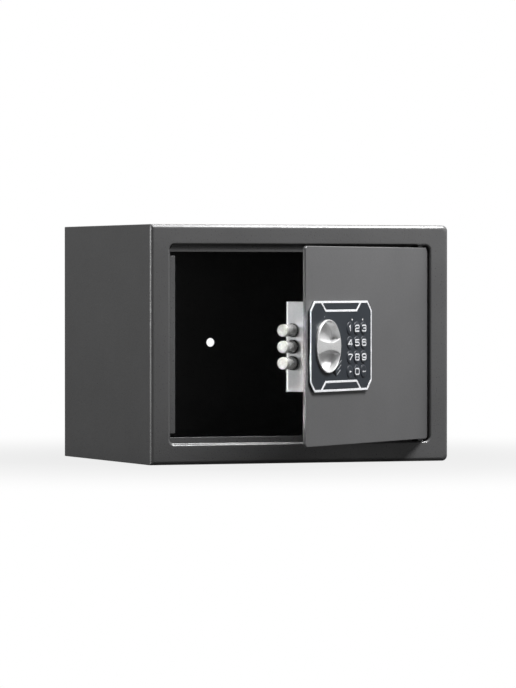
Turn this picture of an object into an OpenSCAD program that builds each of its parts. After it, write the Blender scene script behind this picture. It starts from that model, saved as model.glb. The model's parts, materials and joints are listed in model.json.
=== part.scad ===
// Furniture safe: a folded steel cabinet with a hinged plate door, a keypad lock with a
// turn knob, and three bolts that the knob slides.
// X runs across the front, Y from the front to the back, Z up. The origin is the middle
// of the underside. Lengths are millimetres and angles are degrees.
// Door pieces are written as they lie when the door is shut: x across, y the depth behind
// the door's outer face, z up. on_door() swings them open.

/* [Cabinet] */
// Outside width
body_w = 310; // [290:1:420]
// Outside depth, from the front face to the back
body_d = 250; // [150:1:400]
// Outside height
body_h = 230; // [180:1:400]
// Thickness of the folded sheet
sheet = 1.5; // [1:0.1:2]
// Outside radius of the bends along the front edges
edge_r = 4; // [3:0.5:8]
// Width of the frame around the door opening
frame_w = 19.5; // [17:0.5:26]
// Corner radius of the door opening
frame_r = 5; // [4.5:0.5:7]
// Thickness of the back panel
back_t = 1.5; // [1:0.1:3]
// Diameter of the anchor hole in the back
anchor_d = 8.8; // [6:0.2:14]
// Distance of the anchor hole to the right of the back's middle
anchor_right = 1.2; // [-20:0.1:20]
// Distance of the anchor hole below the back's middle
anchor_low = 1.6; // [-20:0.1:20]

/* [Door stop] */
// Width of the ledge that the shut door rests on
stop_w = 6.75; // [5.5:0.25:9]
// Gap between the ledge beside the bolts and the ledges above and below
stop_notch = 3.9; // [2:0.1:8]

/* [Door] */
// Thickness of the door plate
door_t = 3; // [2:0.5:5]
// Corner radius of the door plate
door_r = 4; // [2:0.5:8]
// Gap between the plate and the frame on the bolt side
gap_bolt_side = 2; // [1:0.1:3]
// Gap between the plate and the frame on the hinge side
gap_hinge_side = 4.2; // [4:0.1:6]
// Gap between the plate and the frame above and below
gap_ends = 2.4; // [1:0.1:3]
// Angle that the door stands open
door_open = 41.2; // [0:0.1:100]
// Diameter of the hinge rod
hinge_d = 6; // [5:0.5:6.5]
// Distance from the hinge rod's axis to the plate's edge
hinge_edge = 3.5; // [3:0.1:3.8]

/* [Lock panel] */
// Width of the panel
panel_w = 130; // [126:0.5:140]
// Height of the panel
panel_h = 84.6; // [84:0.1:100]
// Bevel across each corner of the panel
panel_cut = 9; // [4:0.5:12]
// How far the panel stands out from the door
panel_out = 2; // [1.5:0.1:3]
// Width of the pale line around the panel
line_w = 2; // [1:0.1:3]
// Distance from the door's free edge to the middle of the panel
panel_in = 70; // [70:0.1:82]
// How far the middle of the lock lies below the middle of the door
lock_drop = 0.2; // [0:0.1:5]

/* [Knob] */
// Diameter of the knob
knob_d = 50; // [44:1:52]
// Distance from the middle of the panel to the knob's axis
knob_in = 28.7; // [28:0.1:29.2]
// How far the knob's rim stands out from the panel
knob_out = 2; // [1:0.1:4]
// How far the middle of the grip stands out from the rim
grip_out = 1.3; // [0.5:0.1:3]
// Half the height of the grip at its middle
grip_half = 3.5; // [3:0.5:7]
// Angle that the knob turns through
knob_turn = 90; // [80:1:100]

/* [Keypad] */
// Diameter of a key
key_d = 12.6; // [9:0.1:12.8]
// Distance between neighbouring rows of keys
key_pitch = 13.6; // [13.6:0.1:14.4]
// Distance between neighbouring columns of keys
key_step = 14.7; // [13.8:0.1:14.8]
// Distance from the middle of the panel to the middle column
keypad_in = 32.8; // [32.3:0.1:33.3]
// How far the middle of the keypad lies below the middle of the panel
keypad_drop = 4; // [3:0.1:5]
// How far a key stands out from the panel
key_out = 0.8; // [0.5:0.1:1.5]
// Travel of a key
key_travel = 0.8; // [0.5:0.1:0.8]
// Diameter of a signal lamp
lamp_d = 2; // [1.6:0.1:3]
// Distance between the two signal lamps
lamp_pitch = 22.2; // [18:0.1:26]
// Distance of the lamps' middle to the right of the keys' middle
lamp_right = 2; // [-3:0.1:3]

/* [Bolts] */
// Diameter of a bolt
bolt_d = 11.5; // [8:0.5:12]
// Distance between neighbouring bolts
bolt_pitch = 15.2; // [14:0.1:16]
// Depth of the bolts' axes behind the door's outer face
bolt_depth = 17.3; // [16.5:0.1:17.3]
// How far the bolts stand out past the door's free edge
bolt_out = 13.7; // [12:0.1:14.5]
// Distance that the bolts slide
bolt_travel = 20; // [18:0.5:20]
// Distance from the door's free edge to the bolt bracket
bracket_in = 7.5; // [7.2:0.1:8]
// Height of the bolt bracket
bracket_h = 83.5; // [82:0.1:90]
// Depth of the bracket's back behind the door's outer face
bracket_depth = 25.3; // [25.3:0.1:27]
// Thickness of the bracket's sheet
bracket_t = 1.5; // [1:0.1:1.5]

/* [Hidden] */
$fn = 64;
spill = 1;                       // how far a cut runs past the face that it cuts
slip = 0.3;                      // gap around a piece that moves or is dropped in
run_fit = 0.05;                  // radial clearance of a shaft in its hole
stop_gap = 0.5;                  // gap between the shut plate and the ledge
stop_step = door_t + stop_gap;   // depth of the ledge behind the front face
bend_out = sheet + 0.5;          // outside radius of the bend into the opening
bend_in = stop_step - bend_out;  // front radius of the bend onto the ledge
open_w = body_w - 2 * frame_w;
open_h = body_h - 2 * frame_w;
mid_z = body_h / 2;

door_left = -open_w / 2 + gap_bolt_side;
door_right = open_w / 2 - gap_hinge_side;
door_w = door_right - door_left;
door_h = open_h - 2 * gap_ends;
hinge_x = door_right - hinge_edge;
hinge_y = door_t + hinge_d / 2;
hinge_fit = 0.05;                // radial clearance of the rod in its brackets
ear_t = 2;                       // thickness of a hinge bracket
ear_len = 11;                    // reach of a hinge bracket to each side of the rod
ear_back = 5;                    // bracket left behind the rod
top_ear_z = body_h - frame_w + sheet;

panel_x = door_left + panel_in;
panel_z = mid_z - lock_drop;
knob_x = panel_x - knob_in;
knob_r = knob_d / 2;
knob_back = 6;                   // depth of the knob's back face
rim_w = 1.3;                     // thickness of the knob's rim
scoop_deep = 7.5;                // depth of a scoop beside the grip
scoop_r = 5;                     // radius between the grip's side and a scoop's floor
grip_flare = 67;                 // radius of the grip's curved sides
tub_wall = 2;                    // thickness of the moulding behind the door
tub_back = knob_back + 0.5 + tub_wall;
tub_left = knob_x - knob_r - 1.5;
tub_right = panel_x + keypad_in + 1.5 * key_step + tub_wall;
tub_gap = 0.4;                   // gap around the moulding in the door plate

key_x = panel_x + keypad_in;
key_z = panel_z - keypad_drop;
key_gap = 0.15;                  // gap around a key in the panel
skirt_r = key_d / 2 + key_gap + 0.2; // collar that keeps a key in the panel
skirt_t = 0.6;
stem_r = 2;
board_y = 4.2;                   // depth of the circuit board's front
board_t = 1.6;
board_gap = 0.4;
dome_r = 2.5;
dome_t = 0.2;
lamp_up = 24.4;                  // height of the lamps over the panel's middle
lamp_z = panel_z + lamp_up;
lamp_x = key_x + lamp_right;
lamp_out = 0.3;

window_out_w = 83.4;             // width of a window at the panel's edge
window_in_w = 64.8;              // width of a window at its inner edge
window_h = 8.1;                  // reach of a window in from the panel's edge
cover_out = 0.2;                 // how far the small cover stands out of the panel
cover_t = 1.4;
plug_r = (window_h - line_w) / 2 - 0.4;
plug_z = panel_z - panel_h / 2 + (window_h + line_w) / 2;
plug_tail = 8.5;                 // reach of the tail behind the plug
tail_t = 1.8;
lock_wall = 0.9;
lock_box = 9;                    // side of the emergency lock's square body
lock_back = 18;

screw_r = 1.4;                   // screws of the panel and of the inner cover
head_r = 2.7;
head_t = 1.8;
tub_edge = window_h + 0.8;       // panel left above and below the moulding
tub_h = panel_h - 2 * tub_edge;
panel_screw_x = panel_w / 3;
panel_screw_z = panel_h / 2 - tub_edge + head_r + 0.7;

bracket_left = door_left + bracket_in;
bracket_w = 57.2;
bracket_right = bracket_left + bracket_w;
bracket_bend = bracket_t + 1.5;
bracket_web = bracket_depth - bracket_t;
lug_len = 10;                    // lugs that screw the bracket to the door plate
lug_h = 8;
lug_screw_r = 1.6;
lug_head_r = 3;
lug_head_t = 2;
lug_z = [for (s = [-1, 1]) panel_z + s * (bracket_h - lug_h) / 2];
lug_x = [bracket_left + bracket_t + lug_len / 2, bracket_right - bracket_t - lug_len / 2];
collar_out = 1.2;                // drawn collar around each bolt's hole
collar_t = 0.9;

bolt_tip = door_left - bolt_out;
flange_x = bracket_left + bracket_t + 2;
slide_t = 2;
slide_y = bracket_web - slip - slide_t;
slide_end = 1.5;                 // gap left before the bracket's far leg
slide_right = bracket_right - bracket_t - slide_end - bolt_travel;
slide_down = 22;
slide_up = 29;
slide_low = panel_z - slide_down;
slide_high = panel_z + slide_up;
spigot_r = 3.5;
spigot_head = [spigot_r + 0.6, 1]; // radius and thickness of a spigot's riveted head
crank = bolt_travel / (2 * sin(knob_turn / 2));
crank_pin_r = 2.5;
crank_slot_w = 2 * crank_pin_r + 1.6;
crank_t = 2.5;
crank_y = slide_y - 0.6 - crank_t;
crank_hub = 6;
spindle_r = 4;
guide_r = 2.5;
guide_in = 30.4;                 // distance from the bracket's near leg to the guide pins
guide_x = bracket_left + guide_in;
guide_down = 12.7;
guide_up = 24;
guide_z = [panel_z - guide_down, panel_z + guide_up];
notch_in = 29.6;                 // distance from the bracket's near leg to the catch
notch_x = bracket_left + notch_in;
plunger_r = 2.5;
plunger_top = slide_low - 0.5;
plunger_reach = 3.2;
coil_w = 22;
coil_h = 13;
coil_t = 13.5;
coil_z = slide_low - 4.2;        // top of the coil
coil_y = bracket_web - coil_t / 2;
lead_r = 1.1;
lead_y = tub_back + 2;           // depth at which the leads run
lead_z = coil_z - 1.4;           // height at which the solenoid's lead runs
lead_hole_r = lead_r + 0.5;
lead_x = [knob_x + knob_r + 5, tub_right - 8];
lead_from_z = panel_z - 20;

cover_gap = 16;                  // room between the bracket and the inner cover
cover_w = 120;
cover_left = bracket_right + cover_gap;
cover_right = cover_left + cover_w;
cover_h = 90;
cover_back = 24;
cover_wall = 2;
boss_in = 6;
boss_r = 3.5;
stand_y = 9;
stand_r = 3;
cell_r = 7.1;
cell_len = 49.5;
cell_pitch = 15;
tray_in = 37;
tray_x = cover_right - tray_in;
cell_count = 4;
tray_h = 60;
tray_wall = 1.5;
tray_w = cell_count * cell_pitch + 2 * tray_wall + 1;
tray_deep = 9;
hatch_w = 60;
hatch_h = 56;
hatch_r = 3;

KEYS = ["key_1", "key_2", "key_3", "key_4", "key_5", "key_6",
        "key_7", "key_8", "key_9", "key_clear", "key_0", "key_enter"];

// Placing pieces
module from_front() {
    translate([0, -body_d / 2, 0]) children();
}

// Swings the closed-door pieces about the hinge rod
module on_door() {
    from_front()
        translate([hinge_x, hinge_y, 0])
            rotate([0, 0, door_open])
                translate([-hinge_x, -hinge_y, 0]) children();
}

// A flat outline in x and z, made solid from depth y0 to depth y1
module slab(y0, y1) {
    translate([0, y1, 0]) rotate([90, 0, 0]) linear_extrude(y1 - y0) children();
}

// A round bar along the depth, from y0 to y1
module bar(x, z, y0, y1, r) {
    translate([x, y0, z]) rotate([-90, 0, 0]) cylinder(r = r, h = y1 - y0);
}

// A block given by its lowest and highest corners
module block(lo, hi) {
    translate(lo) cube(hi - lo);
}

// Outlines
module round_rect(w, h, r) {
    square([w - 2 * r, h], center = true);
    square([w, h - 2 * r], center = true);
    for (sx = [-1, 1], sy = [-1, 1])
        translate([sx * (w / 2 - r), sy * (h / 2 - r)]) circle(r);
}

// A rectangle with its four corners bevelled
module cut_rect(w, h, c) {
    a = w / 2;
    b = h / 2;
    polygon([[-a, -b + c], [-a + c, -b], [a - c, -b], [a, -b + c],
             [a, b - c], [a - c, b], [-a + c, b], [-a, b - c]]);
}

// A rectangle from y0 to y1 whose two corners at y0 are round
module round_front(x0, x1, y0, y1, r) {
    translate([x0 + r, y0]) square([x1 - x0 - 2 * r, y1 - y0]);
    translate([x0, y0 + r]) square([x1 - x0, y1 - y0 - r]);
    for (x = [x0 + r, x1 - r]) translate([x, y0 + r]) circle(r);
}

// The tapered window at the panel's lower edge, grown by g on its slanted and inner sides
module window_taper(g) {
    edge = panel_h / 2;
    slope = (window_out_w - window_in_w) / 2 / window_h;
    reach = sqrt(1 + slope * slope);
    a = window_out_w / 2 + reach * g;
    b = window_in_w / 2 + (reach - slope) * g;
    polygon([[-a, -edge], [a, -edge], [b, -edge + window_h + g], [-b, -edge + window_h + g]]);
}

// The part of the window inside the line around the panel
module window_hole(g) {
    intersection() {
        window_taper(g);
        square([window_out_w, panel_h - 2 * line_w + 2 * g], center = true);
    }
}

// Carries a profile around the door opening. The profile's x is measured outwards from
// the centre of the corner arc, and its y is the depth behind the front face.
module around_opening() {
    a = open_w / 2 - frame_r;
    b = open_h / 2 - frame_r;
    translate([0, 0, mid_z])
        rotate([90, 0, 0]) mirror([0, 0, 1]) {
            for (k = [0:3])
                translate([(k == 0 || k == 3) ? a : -a, k < 2 ? b : -b, 0])
                    rotate([0, 0, 90 * k]) rotate_extrude(angle = 90) children();
            for (s = [0, 1]) rotate([0, 0, 180 * s]) {
                translate([a, b, 0]) rotate([90, 0, 0]) linear_extrude(2 * b) children();
                translate([-a, b, 0]) rotate([90, 0, 90]) linear_extrude(2 * a) children();
            }
        }
}

// Cabinet
module folded_box(inset, back) {
    w = body_w - 2 * inset;
    r = edge_r - inset;
    intersection() {
        translate([0, 0, inset]) linear_extrude(body_h - 2 * inset)
            round_front(-w / 2, w / 2, inset, back, r);
        translate([-w / 2, 0, mid_z]) rotate([90, 0, 90]) linear_extrude(w)
            side_outline(inset, back, r);
    }
}

// The box seen from the side: depth across, height up, round at the front
module side_outline(inset, back, r) {
    h = body_h / 2 - inset;
    translate([inset + r, -h]) square([back - inset - r, 2 * h]);
    translate([inset, -h + r]) square([back - inset, 2 * (h - r)]);
    for (s = [-1, 1]) translate([inset + r, s * (h - r)]) circle(r);
}

// The sheet where it bends into the opening and on towards the stop ledge
module stop_bends() {
    intersection() {
        translate([frame_r + bend_out, bend_out]) difference() {
            circle(bend_out);
            circle(bend_out - sheet);
        }
        translate([frame_r, 0]) square(bend_out);
    }
    intersection() {
        translate([frame_r - bend_in, bend_out]) difference() {
            circle(bend_in + sheet);
            circle(bend_in);
        }
        translate([frame_r - bend_in, bend_out]) square(bend_in + sheet);
    }
}

module stop_ledge() {
    slab_w = open_w - 2 * bend_in;
    slab_h = open_h - 2 * bend_in;
    in_w = open_w - 2 * stop_w;
    in_h = open_h - 2 * stop_w;
    translate([0, 0, mid_z]) slab(stop_step, stop_step + sheet) difference() {
        round_rect(slab_w, slab_h, frame_r - bend_in);
        round_rect(in_w, in_h, door_r);
        for (s = [-1, 1])
            translate([-open_w / 2 - spill, s * (in_h / 2 - stop_notch / 2) - stop_notch / 2])
                square([stop_w + spill + 0.01, stop_notch]);
    }
}

module body_shell() color([0.26, 0.26, 0.27]) from_front() {
    relief_x = hinge_x - ear_len;
    difference() {
        union() {
            difference() {
                folded_box(0, body_d);
                folded_box(sheet, body_d + spill);
                translate([0, 0, mid_z]) slab(-spill, sheet + spill)
                    round_rect(open_w + 2 * bend_out, open_h + 2 * bend_out, frame_r + bend_out);
            }
            around_opening() stop_bends();
            stop_ledge();
        }
        // the stop is cut away on the hinge side, where the door's edge swings
        block([relief_x, bend_out + 0.2, mid_z - open_h / 2 - sheet - 0.5],
              [open_w / 2, stop_step + sheet + spill, mid_z + open_h / 2 + sheet + 0.5]);
    }
}

module back_panel() color([0.24, 0.24, 0.25]) from_front() {
    fit = 0.1;
    difference() {
        block([-body_w / 2 + sheet + fit, body_d - back_t, sheet + fit],
              [body_w / 2 - sheet - fit, body_d, body_h - sheet - fit]);
        bar(anchor_right, mid_z - anchor_low, body_d - back_t - spill, body_d + spill, anchor_d / 2);
    }
}

// An angle welded behind the frame, with a hole for the end of the hinge rod
module hinge_ear() {
    leg = 10;
    difference() {
        union() {
            block([hinge_x - ear_len, sheet, top_ear_z],
                  [hinge_x + ear_len, hinge_y + hinge_d / 2 + ear_back, top_ear_z + ear_t]);
            block([hinge_x - ear_len, sheet, top_ear_z],
                  [hinge_x + ear_len, sheet + ear_t, top_ear_z + ear_t + leg]);
        }
        translate([hinge_x, hinge_y, top_ear_z - spill])
            cylinder(r = hinge_d / 2 + hinge_fit, h = ear_t + 2 * spill);
    }
}

module hinge_bracket_upper() color("gray") from_front() hinge_ear();

// The lower angle has a foot plate that the rod stands on
module hinge_bracket_lower() color("gray") from_front() {
    translate([0, 0, body_h]) mirror([0, 0, 1]) hinge_ear();
    low = body_h - top_ear_z - ear_t;
    block([hinge_x - ear_len, sheet + ear_t, low - ear_t],
          [hinge_x + ear_len, hinge_y + hinge_d / 2 + ear_back, low]);
}

// Door
module door_plate() color([0.30, 0.30, 0.31]) on_door() difference() {
    translate([(door_left + door_right) / 2, 0, mid_z])
        slab(0, door_t) round_rect(door_w, door_h, door_r);
    block([tub_left - tub_gap, -spill, panel_z - tub_h / 2 - tub_gap],
          [tub_right + tub_gap, door_t + spill, panel_z + tub_h / 2 + tub_gap]);
    bar(panel_x, plug_z, -spill, door_t + spill, plug_r + tub_gap);
    for (x = lug_x, z = lug_z) bar(x, z, door_t - 2.2, door_t + spill, lug_screw_r + run_fit);
    panel_screw_places() bar(0, 0, -spill, door_t + spill, screw_r + slip);
}

// The rod is tack welded to the back of the plate and turns in the brackets
module hinge_rod() color("darkgray") on_door() {
    bead_w = 4;
    bead_h = 14;
    low = body_h - top_ear_z - ear_t + 0.1;
    high = top_ear_z + ear_t - 0.3;
    translate([hinge_x, hinge_y, low]) cylinder(r = hinge_d / 2, h = high - low);
    for (k = [-1, 0, 1])
        translate([hinge_x - bead_w / 2, door_t, mid_z + k * (door_h / 2 - bead_h) - bead_h / 2])
            cube([bead_w, hinge_d / 2 - 1, bead_h]);
}

// Lock panel
module panel_screw_places() {
    for (sx = [-1, 1], sz = [-1, 1])
        translate([panel_x + sx * panel_screw_x, 0, panel_z + sz * panel_screw_z]) children();
}

module key_places() {
    for (col = [-1, 0, 1], row = [0:3])
        translate([key_x + col * key_step, 0, key_z + (1.5 - row) * key_pitch]) children();
}

module lock_panel() color([0.20, 0.22, 0.25]) on_door() difference() {
    union() {
        translate([panel_x, 0, panel_z]) slab(-panel_out, 0) cut_rect(panel_w, panel_h, panel_cut);
        block([tub_left, -spill, panel_z - tub_h / 2], [tub_right, tub_back, panel_z + tub_h / 2]);
    }
    // well of the knob, and the bore of its spindle
    bar(knob_x, panel_z, -panel_out - spill, knob_back + 0.5, knob_r + slip);
    bar(knob_x, panel_z, 0, tub_back + spill, spindle_r + run_fit);
    // room for the keys and their board
    block([knob_x + knob_r + tub_wall, 0, panel_z - tub_h / 2 + tub_wall],
          [tub_right - tub_wall, tub_back - tub_wall, panel_z + tub_h / 2 - tub_wall]);
    key_places() bar(0, 0, -panel_out - spill, spill, key_d / 2 + key_gap);
    for (s = [-1, 1])
        bar(lamp_x + s * lamp_pitch / 2, lamp_z, -panel_out - spill, spill, lamp_d / 2 + run_fit);
    // recess of the small cover, and the opening to the emergency lock
    translate([panel_x, 0, panel_z]) slab(-panel_out - spill, cover_t - panel_out)
        window_hole(0);
    bar(panel_x, plug_z, -panel_out - spill, spill, plug_r + slip);
    panel_screw_places() bar(0, 0, -1.5, spill, screw_r + run_fit);
    // two holes for the leads
    bar(lead_x[1], panel_z, 0, tub_back + spill, lead_hole_r);
    bar(lead_x[0], lead_from_z, 0, tub_back + spill, lead_hole_r);
}

module panel_line() color("whitesmoke") on_door() {
    line_t = 0.3;
    inner_cut = panel_cut - line_w * (2 - sqrt(2));
    translate([panel_x, 0, panel_z]) slab(-panel_out - line_t, -panel_out) {
        difference() {
            cut_rect(panel_w, panel_h, panel_cut);
            cut_rect(panel_w - 2 * line_w, panel_h - 2 * line_w, inner_cut);
        }
        for (k = [0, 1]) mirror([0, k]) difference() {
            window_taper(line_w);
            window_hole(0);
        }
    }
}

module signal_lamps() color("white") on_door()
    for (s = [-1, 1])
        bar(lamp_x + s * lamp_pitch / 2, lamp_z, -panel_out - lamp_out, board_y, lamp_d / 2);

module circuit_board() color("darkgreen") on_door()
    block([knob_x + knob_r + tub_wall + board_gap, board_y, panel_z - tub_h / 2 + tub_wall + board_gap],
          [tub_right - tub_wall - board_gap, board_y + board_t,
           panel_z + tub_h / 2 - tub_wall - board_gap]);

module contact_domes() color("gold") on_door()
    key_places() bar(0, 0, board_y - dome_t, board_y, dome_r);

module keypad_key(k) color([0.17, 0.19, 0.22]) on_door() {
    col = k % 3 - 1;
    row = floor(k / 3);
    translate([key_x + col * key_step, 0, key_z + (1.5 - row) * key_pitch]) {
        bar(0, 0, -panel_out - key_out, 0.1, key_d / 2);
        bar(0, 0, 0.1, 0.1 + skirt_t, skirt_r);
        bar(0, 0, 0.1 + skirt_t, board_y - dome_t - key_travel - 0.1, stem_r);
    }
}

module panel_screws() color("silver") on_door() panel_screw_places() {
    bar(0, 0, -1.4, door_t, screw_r);
    bar(0, 0, door_t, door_t + head_t, head_r);
}

// The small cover lifts off to show the emergency lock
module key_cover() color([0.22, 0.24, 0.27]) on_door()
    translate([panel_x, 0, panel_z]) slab(-panel_out - cover_out, cover_t - panel_out)
        window_hole(-slip);

module emergency_lock_body() color("silver") on_door() difference() {
    union() {
        bar(panel_x, plug_z, door_t, tub_back + slip + spill, plug_r + lock_wall);
        block([panel_x - lock_box / 2, tub_back + slip, plug_z - lock_box / 2],
              [panel_x + lock_box / 2, lock_back, plug_z + lock_box / 2]);
    }
    bar(panel_x, plug_z, 0, lock_back + spill, plug_r + run_fit);
}

// The key turns this plug, and the tail behind it lifts the catch
module emergency_plug() color("gray") on_door() difference() {
    union() {
        bar(panel_x, plug_z, 0.2, lock_back + 0.2 + tail_t, plug_r);
        block([panel_x - 2, lock_back + 0.2, plug_z],
              [panel_x + 2, lock_back + 0.2 + tail_t, plug_z + plug_tail]);
    }
    block([panel_x - 0.5, -spill, plug_z - 2.2], [panel_x + 0.5, 12, plug_z + 2.2]);
}

// Knob
// A scoop from the side: a flat floor that curves up to the grip
module scoop_outline() {
    floor_y = scoop_deep - panel_out - knob_out;
    above = 2 * scoop_deep;
    translate([-above, grip_half]) square([above + floor_y - scoop_r, knob_r]);
    translate([-above, grip_half + scoop_r]) square([above + floor_y, knob_r]);
    translate([floor_y - scoop_r, grip_half + scoop_r]) circle(scoop_r);
}

module knob_scoop() intersection() {
    bar(knob_x, panel_z, -3 * scoop_deep, 3 * scoop_deep, knob_r - rim_w);
    bar(knob_x, panel_z + grip_half + grip_flare, -3 * scoop_deep, 3 * scoop_deep, grip_flare);
    translate([knob_x - knob_r, 0, panel_z])
        rotate([90, 0, 90]) linear_extrude(knob_d) scoop_outline();
}

module knob() color("silver") on_door() {
    rim_out = panel_out + knob_out;
    arch_r = (knob_r * knob_r + grip_out * grip_out) / (2 * grip_out);
    difference() {
        translate([knob_x, 0, panel_z]) rotate([90, 0, 0]) rotate_extrude() intersection() {
            translate([0, -knob_back]) square([knob_r, knob_back + rim_out + grip_out]);
            translate([0, rim_out + grip_out - arch_r]) circle(arch_r, $fn = 256);
        }
        knob_scoop();
        translate([0, 0, 2 * panel_z]) mirror([0, 0, 1]) knob_scoop();
        bar(knob_x, panel_z, knob_back - 3, knob_back + spill, spindle_r);
    }
}

module knob_spindle() color("gray") on_door()
    bar(knob_x, panel_z, knob_back - 3, crank_y, spindle_r);

// The crank's pin runs in the upright slot of the slide plate
module crank() color("silver") on_door()
    translate([knob_x, 0, panel_z]) rotate([0, -knob_turn / 2, 0]) {
        bar(0, 0, crank_y, crank_y + crank_t, crank_hub);
        bar(0, crank, crank_y, crank_y + crank_t, crank_pin_r + 1.5);
        block([-crank_pin_r - 1, crank_y, 0], [crank_pin_r + 1, crank_y + crank_t, crank]);
        bar(0, crank, crank_y + crank_t, slide_y + slide_t, crank_pin_r);
    }

// Bolt work
module bracket_outline(inset) {
    x0 = bracket_left + inset;
    x1 = bracket_right - inset;
    y1 = bracket_depth - inset;
    translate([0, y1 + door_t]) mirror([0, 1])
        round_front(x0, x1, door_t, y1 + (inset > 0 ? spill : 0), bracket_bend - inset);
}

module bolt_bracket() color([0.75, 0.76, 0.76]) on_door() {
    low = panel_z - bracket_h / 2;
    difference() {
        union() {
            translate([0, 0, low]) linear_extrude(bracket_h) difference() {
                bracket_outline(0);
                bracket_outline(bracket_t);
            }
            bolt_places() rotate([0, -90, 0])
                cylinder(r = bolt_d / 2 + collar_t, h = bracket_t / 2 + collar_out);
        }
        // the inner leg clears the moulding behind the door
        block([bracket_left + 10, 0, panel_z - tub_h / 2 - tub_gap],
              [bracket_right + spill, tub_back + slip, panel_z + tub_h / 2 + tub_gap]);
        bolt_places() rotate([0, 90, 0])
            cylinder(r = bolt_d / 2 + run_fit, h = bracket_bend + 2 * spill, center = true);
        for (z = guide_z) bar(guide_x, z, bracket_web - spill, bracket_depth + spill, guide_r - 0.5);
        // hole in the inner leg for the solenoid's lead
        translate([bracket_right - bracket_t - spill, lead_y, lead_z]) rotate([0, 90, 0])
            cylinder(r = lead_hole_r, h = bracket_t + 2 * spill);
    }
    // each lug grows out of the middle of its leg's sheet
    for (side = [0, 1], z = lug_z)
        difference() {
            block([lug_x[side] - lug_len / 2 - (1 - side) * bracket_t / 2, door_t, z - lug_h / 2],
                  [lug_x[side] + lug_len / 2 + side * bracket_t / 2, door_t + bracket_t, z + lug_h / 2]);
            bar(lug_x[side], z, 0, door_t + bracket_t + spill, lug_screw_r + run_fit);
        }
}

module bracket_screws() color("silver") on_door()
    for (x = lug_x, z = lug_z) {
        bar(x, z, door_t - 2, door_t + bracket_t, lug_screw_r);
        bar(x, z, door_t + bracket_t, door_t + bracket_t + lug_head_t, lug_head_r);
    }

// Headed pins that hold the slide plate against the bracket
module guide_pins() color("silver") on_door()
    for (z = guide_z) {
        bar(guide_x, z, slide_y - slip - 1, slide_y - slip, guide_r + 1);
        bar(guide_x, z, slide_y - slip, bracket_web, guide_r);
        bar(guide_x, z, bracket_web, bracket_depth, guide_r - 0.5);
    }

module bolt_places()
    for (k = [-1, 0, 1])
        translate([bracket_left + bracket_t / 2, bolt_depth, panel_z + k * bolt_pitch]) children();

module slide_plate() color("lightgray") on_door() difference() {
    union() {
        block([flange_x, slide_y, slide_low], [slide_right, slide_y + slide_t, slide_high]);
        block([flange_x, tub_back + 0.6, slide_low], [flange_x + slide_t, slide_y + spill, slide_high]);
    }
    for (k = [-1, 0, 1])
        translate([flange_x - spill, bolt_depth, panel_z + k * bolt_pitch]) rotate([0, 90, 0])
            cylinder(r = spigot_r, h = slide_t + 2 * spill);
    // the crank's slot, the two guide slots and the two catch notches
    upright_slot(knob_x - bolt_travel / 2, panel_z + crank * cos(knob_turn / 2) - 2, panel_z + crank + 2);
    for (z = guide_z) level_slot(guide_x - bolt_travel, guide_x, z);
    for (x = [notch_x, notch_x - bolt_travel])
        block([x - plunger_r - slip, slide_y - spill, slide_low - spill],
              [x + plunger_r + slip, slide_y + slide_t + spill, slide_low + plunger_reach + 0.8]);
}

module upright_slot(x, z0, z1) {
    r = crank_slot_w / 2;
    for (z = [z0, z1]) bar(x, z, slide_y - spill, slide_y + slide_t + spill, r);
    block([x - r, slide_y - spill, z0], [x + r, slide_y + slide_t + spill, z1]);
}

module level_slot(x0, x1, z) {
    r = guide_r + 0.2;
    for (x = [x0, x1]) bar(x, z, slide_y - spill, slide_y + slide_t + spill, r);
    block([x0, slide_y - spill, z - r], [x1, slide_y + slide_t + spill, z + r]);
}

// Turned bolts, each with a spigot riveted into the slide plate's flange
module locking_bolts() color("silver") on_door()
    for (k = [-1, 0, 1])
        translate([bolt_tip, bolt_depth, panel_z + k * bolt_pitch]) rotate([0, 90, 0]) {
            chamfer = 0.6;
            long = flange_x - bolt_tip;
            cylinder(r1 = bolt_d / 2 - chamfer, r2 = bolt_d / 2, h = chamfer);
            translate([0, 0, chamfer]) cylinder(r = bolt_d / 2, h = long - chamfer);
            translate([0, 0, long]) cylinder(r = spigot_r, h = slide_t);
            translate([0, 0, long + slide_t]) cylinder(r = spigot_head[0], h = spigot_head[1]);
        }

module solenoid_body() color("dimgray") on_door() difference() {
    block([notch_x - coil_w / 2, coil_y - coil_t / 2, coil_z - coil_h],
          [notch_x + coil_w / 2, coil_y + coil_t / 2, coil_z]);
    translate([notch_x, coil_y, coil_z - coil_h + 2])
        cylinder(r = plunger_r + run_fit, h = coil_h);
}

// The plunger carries a blade that rises into a notch of the slide plate
module solenoid_plunger() color("silver") on_door() {
    low = coil_z - coil_h + 2.2;
    blade_h = 2.8;
    translate([notch_x, coil_y, low]) cylinder(r = plunger_r, h = plunger_top - low);
    block([notch_x - plunger_r + slip, coil_y, plunger_top - blade_h],
          [notch_x + plunger_r - slip, slide_y + slide_t - slip, plunger_top]);
}

// Inner cover and batteries
module cover_corners()
    for (x = [cover_left + boss_in, cover_right - boss_in], s = [-1, 1])
        translate([x, 0, panel_z + s * (cover_h / 2 - boss_in)]) children();

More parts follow.
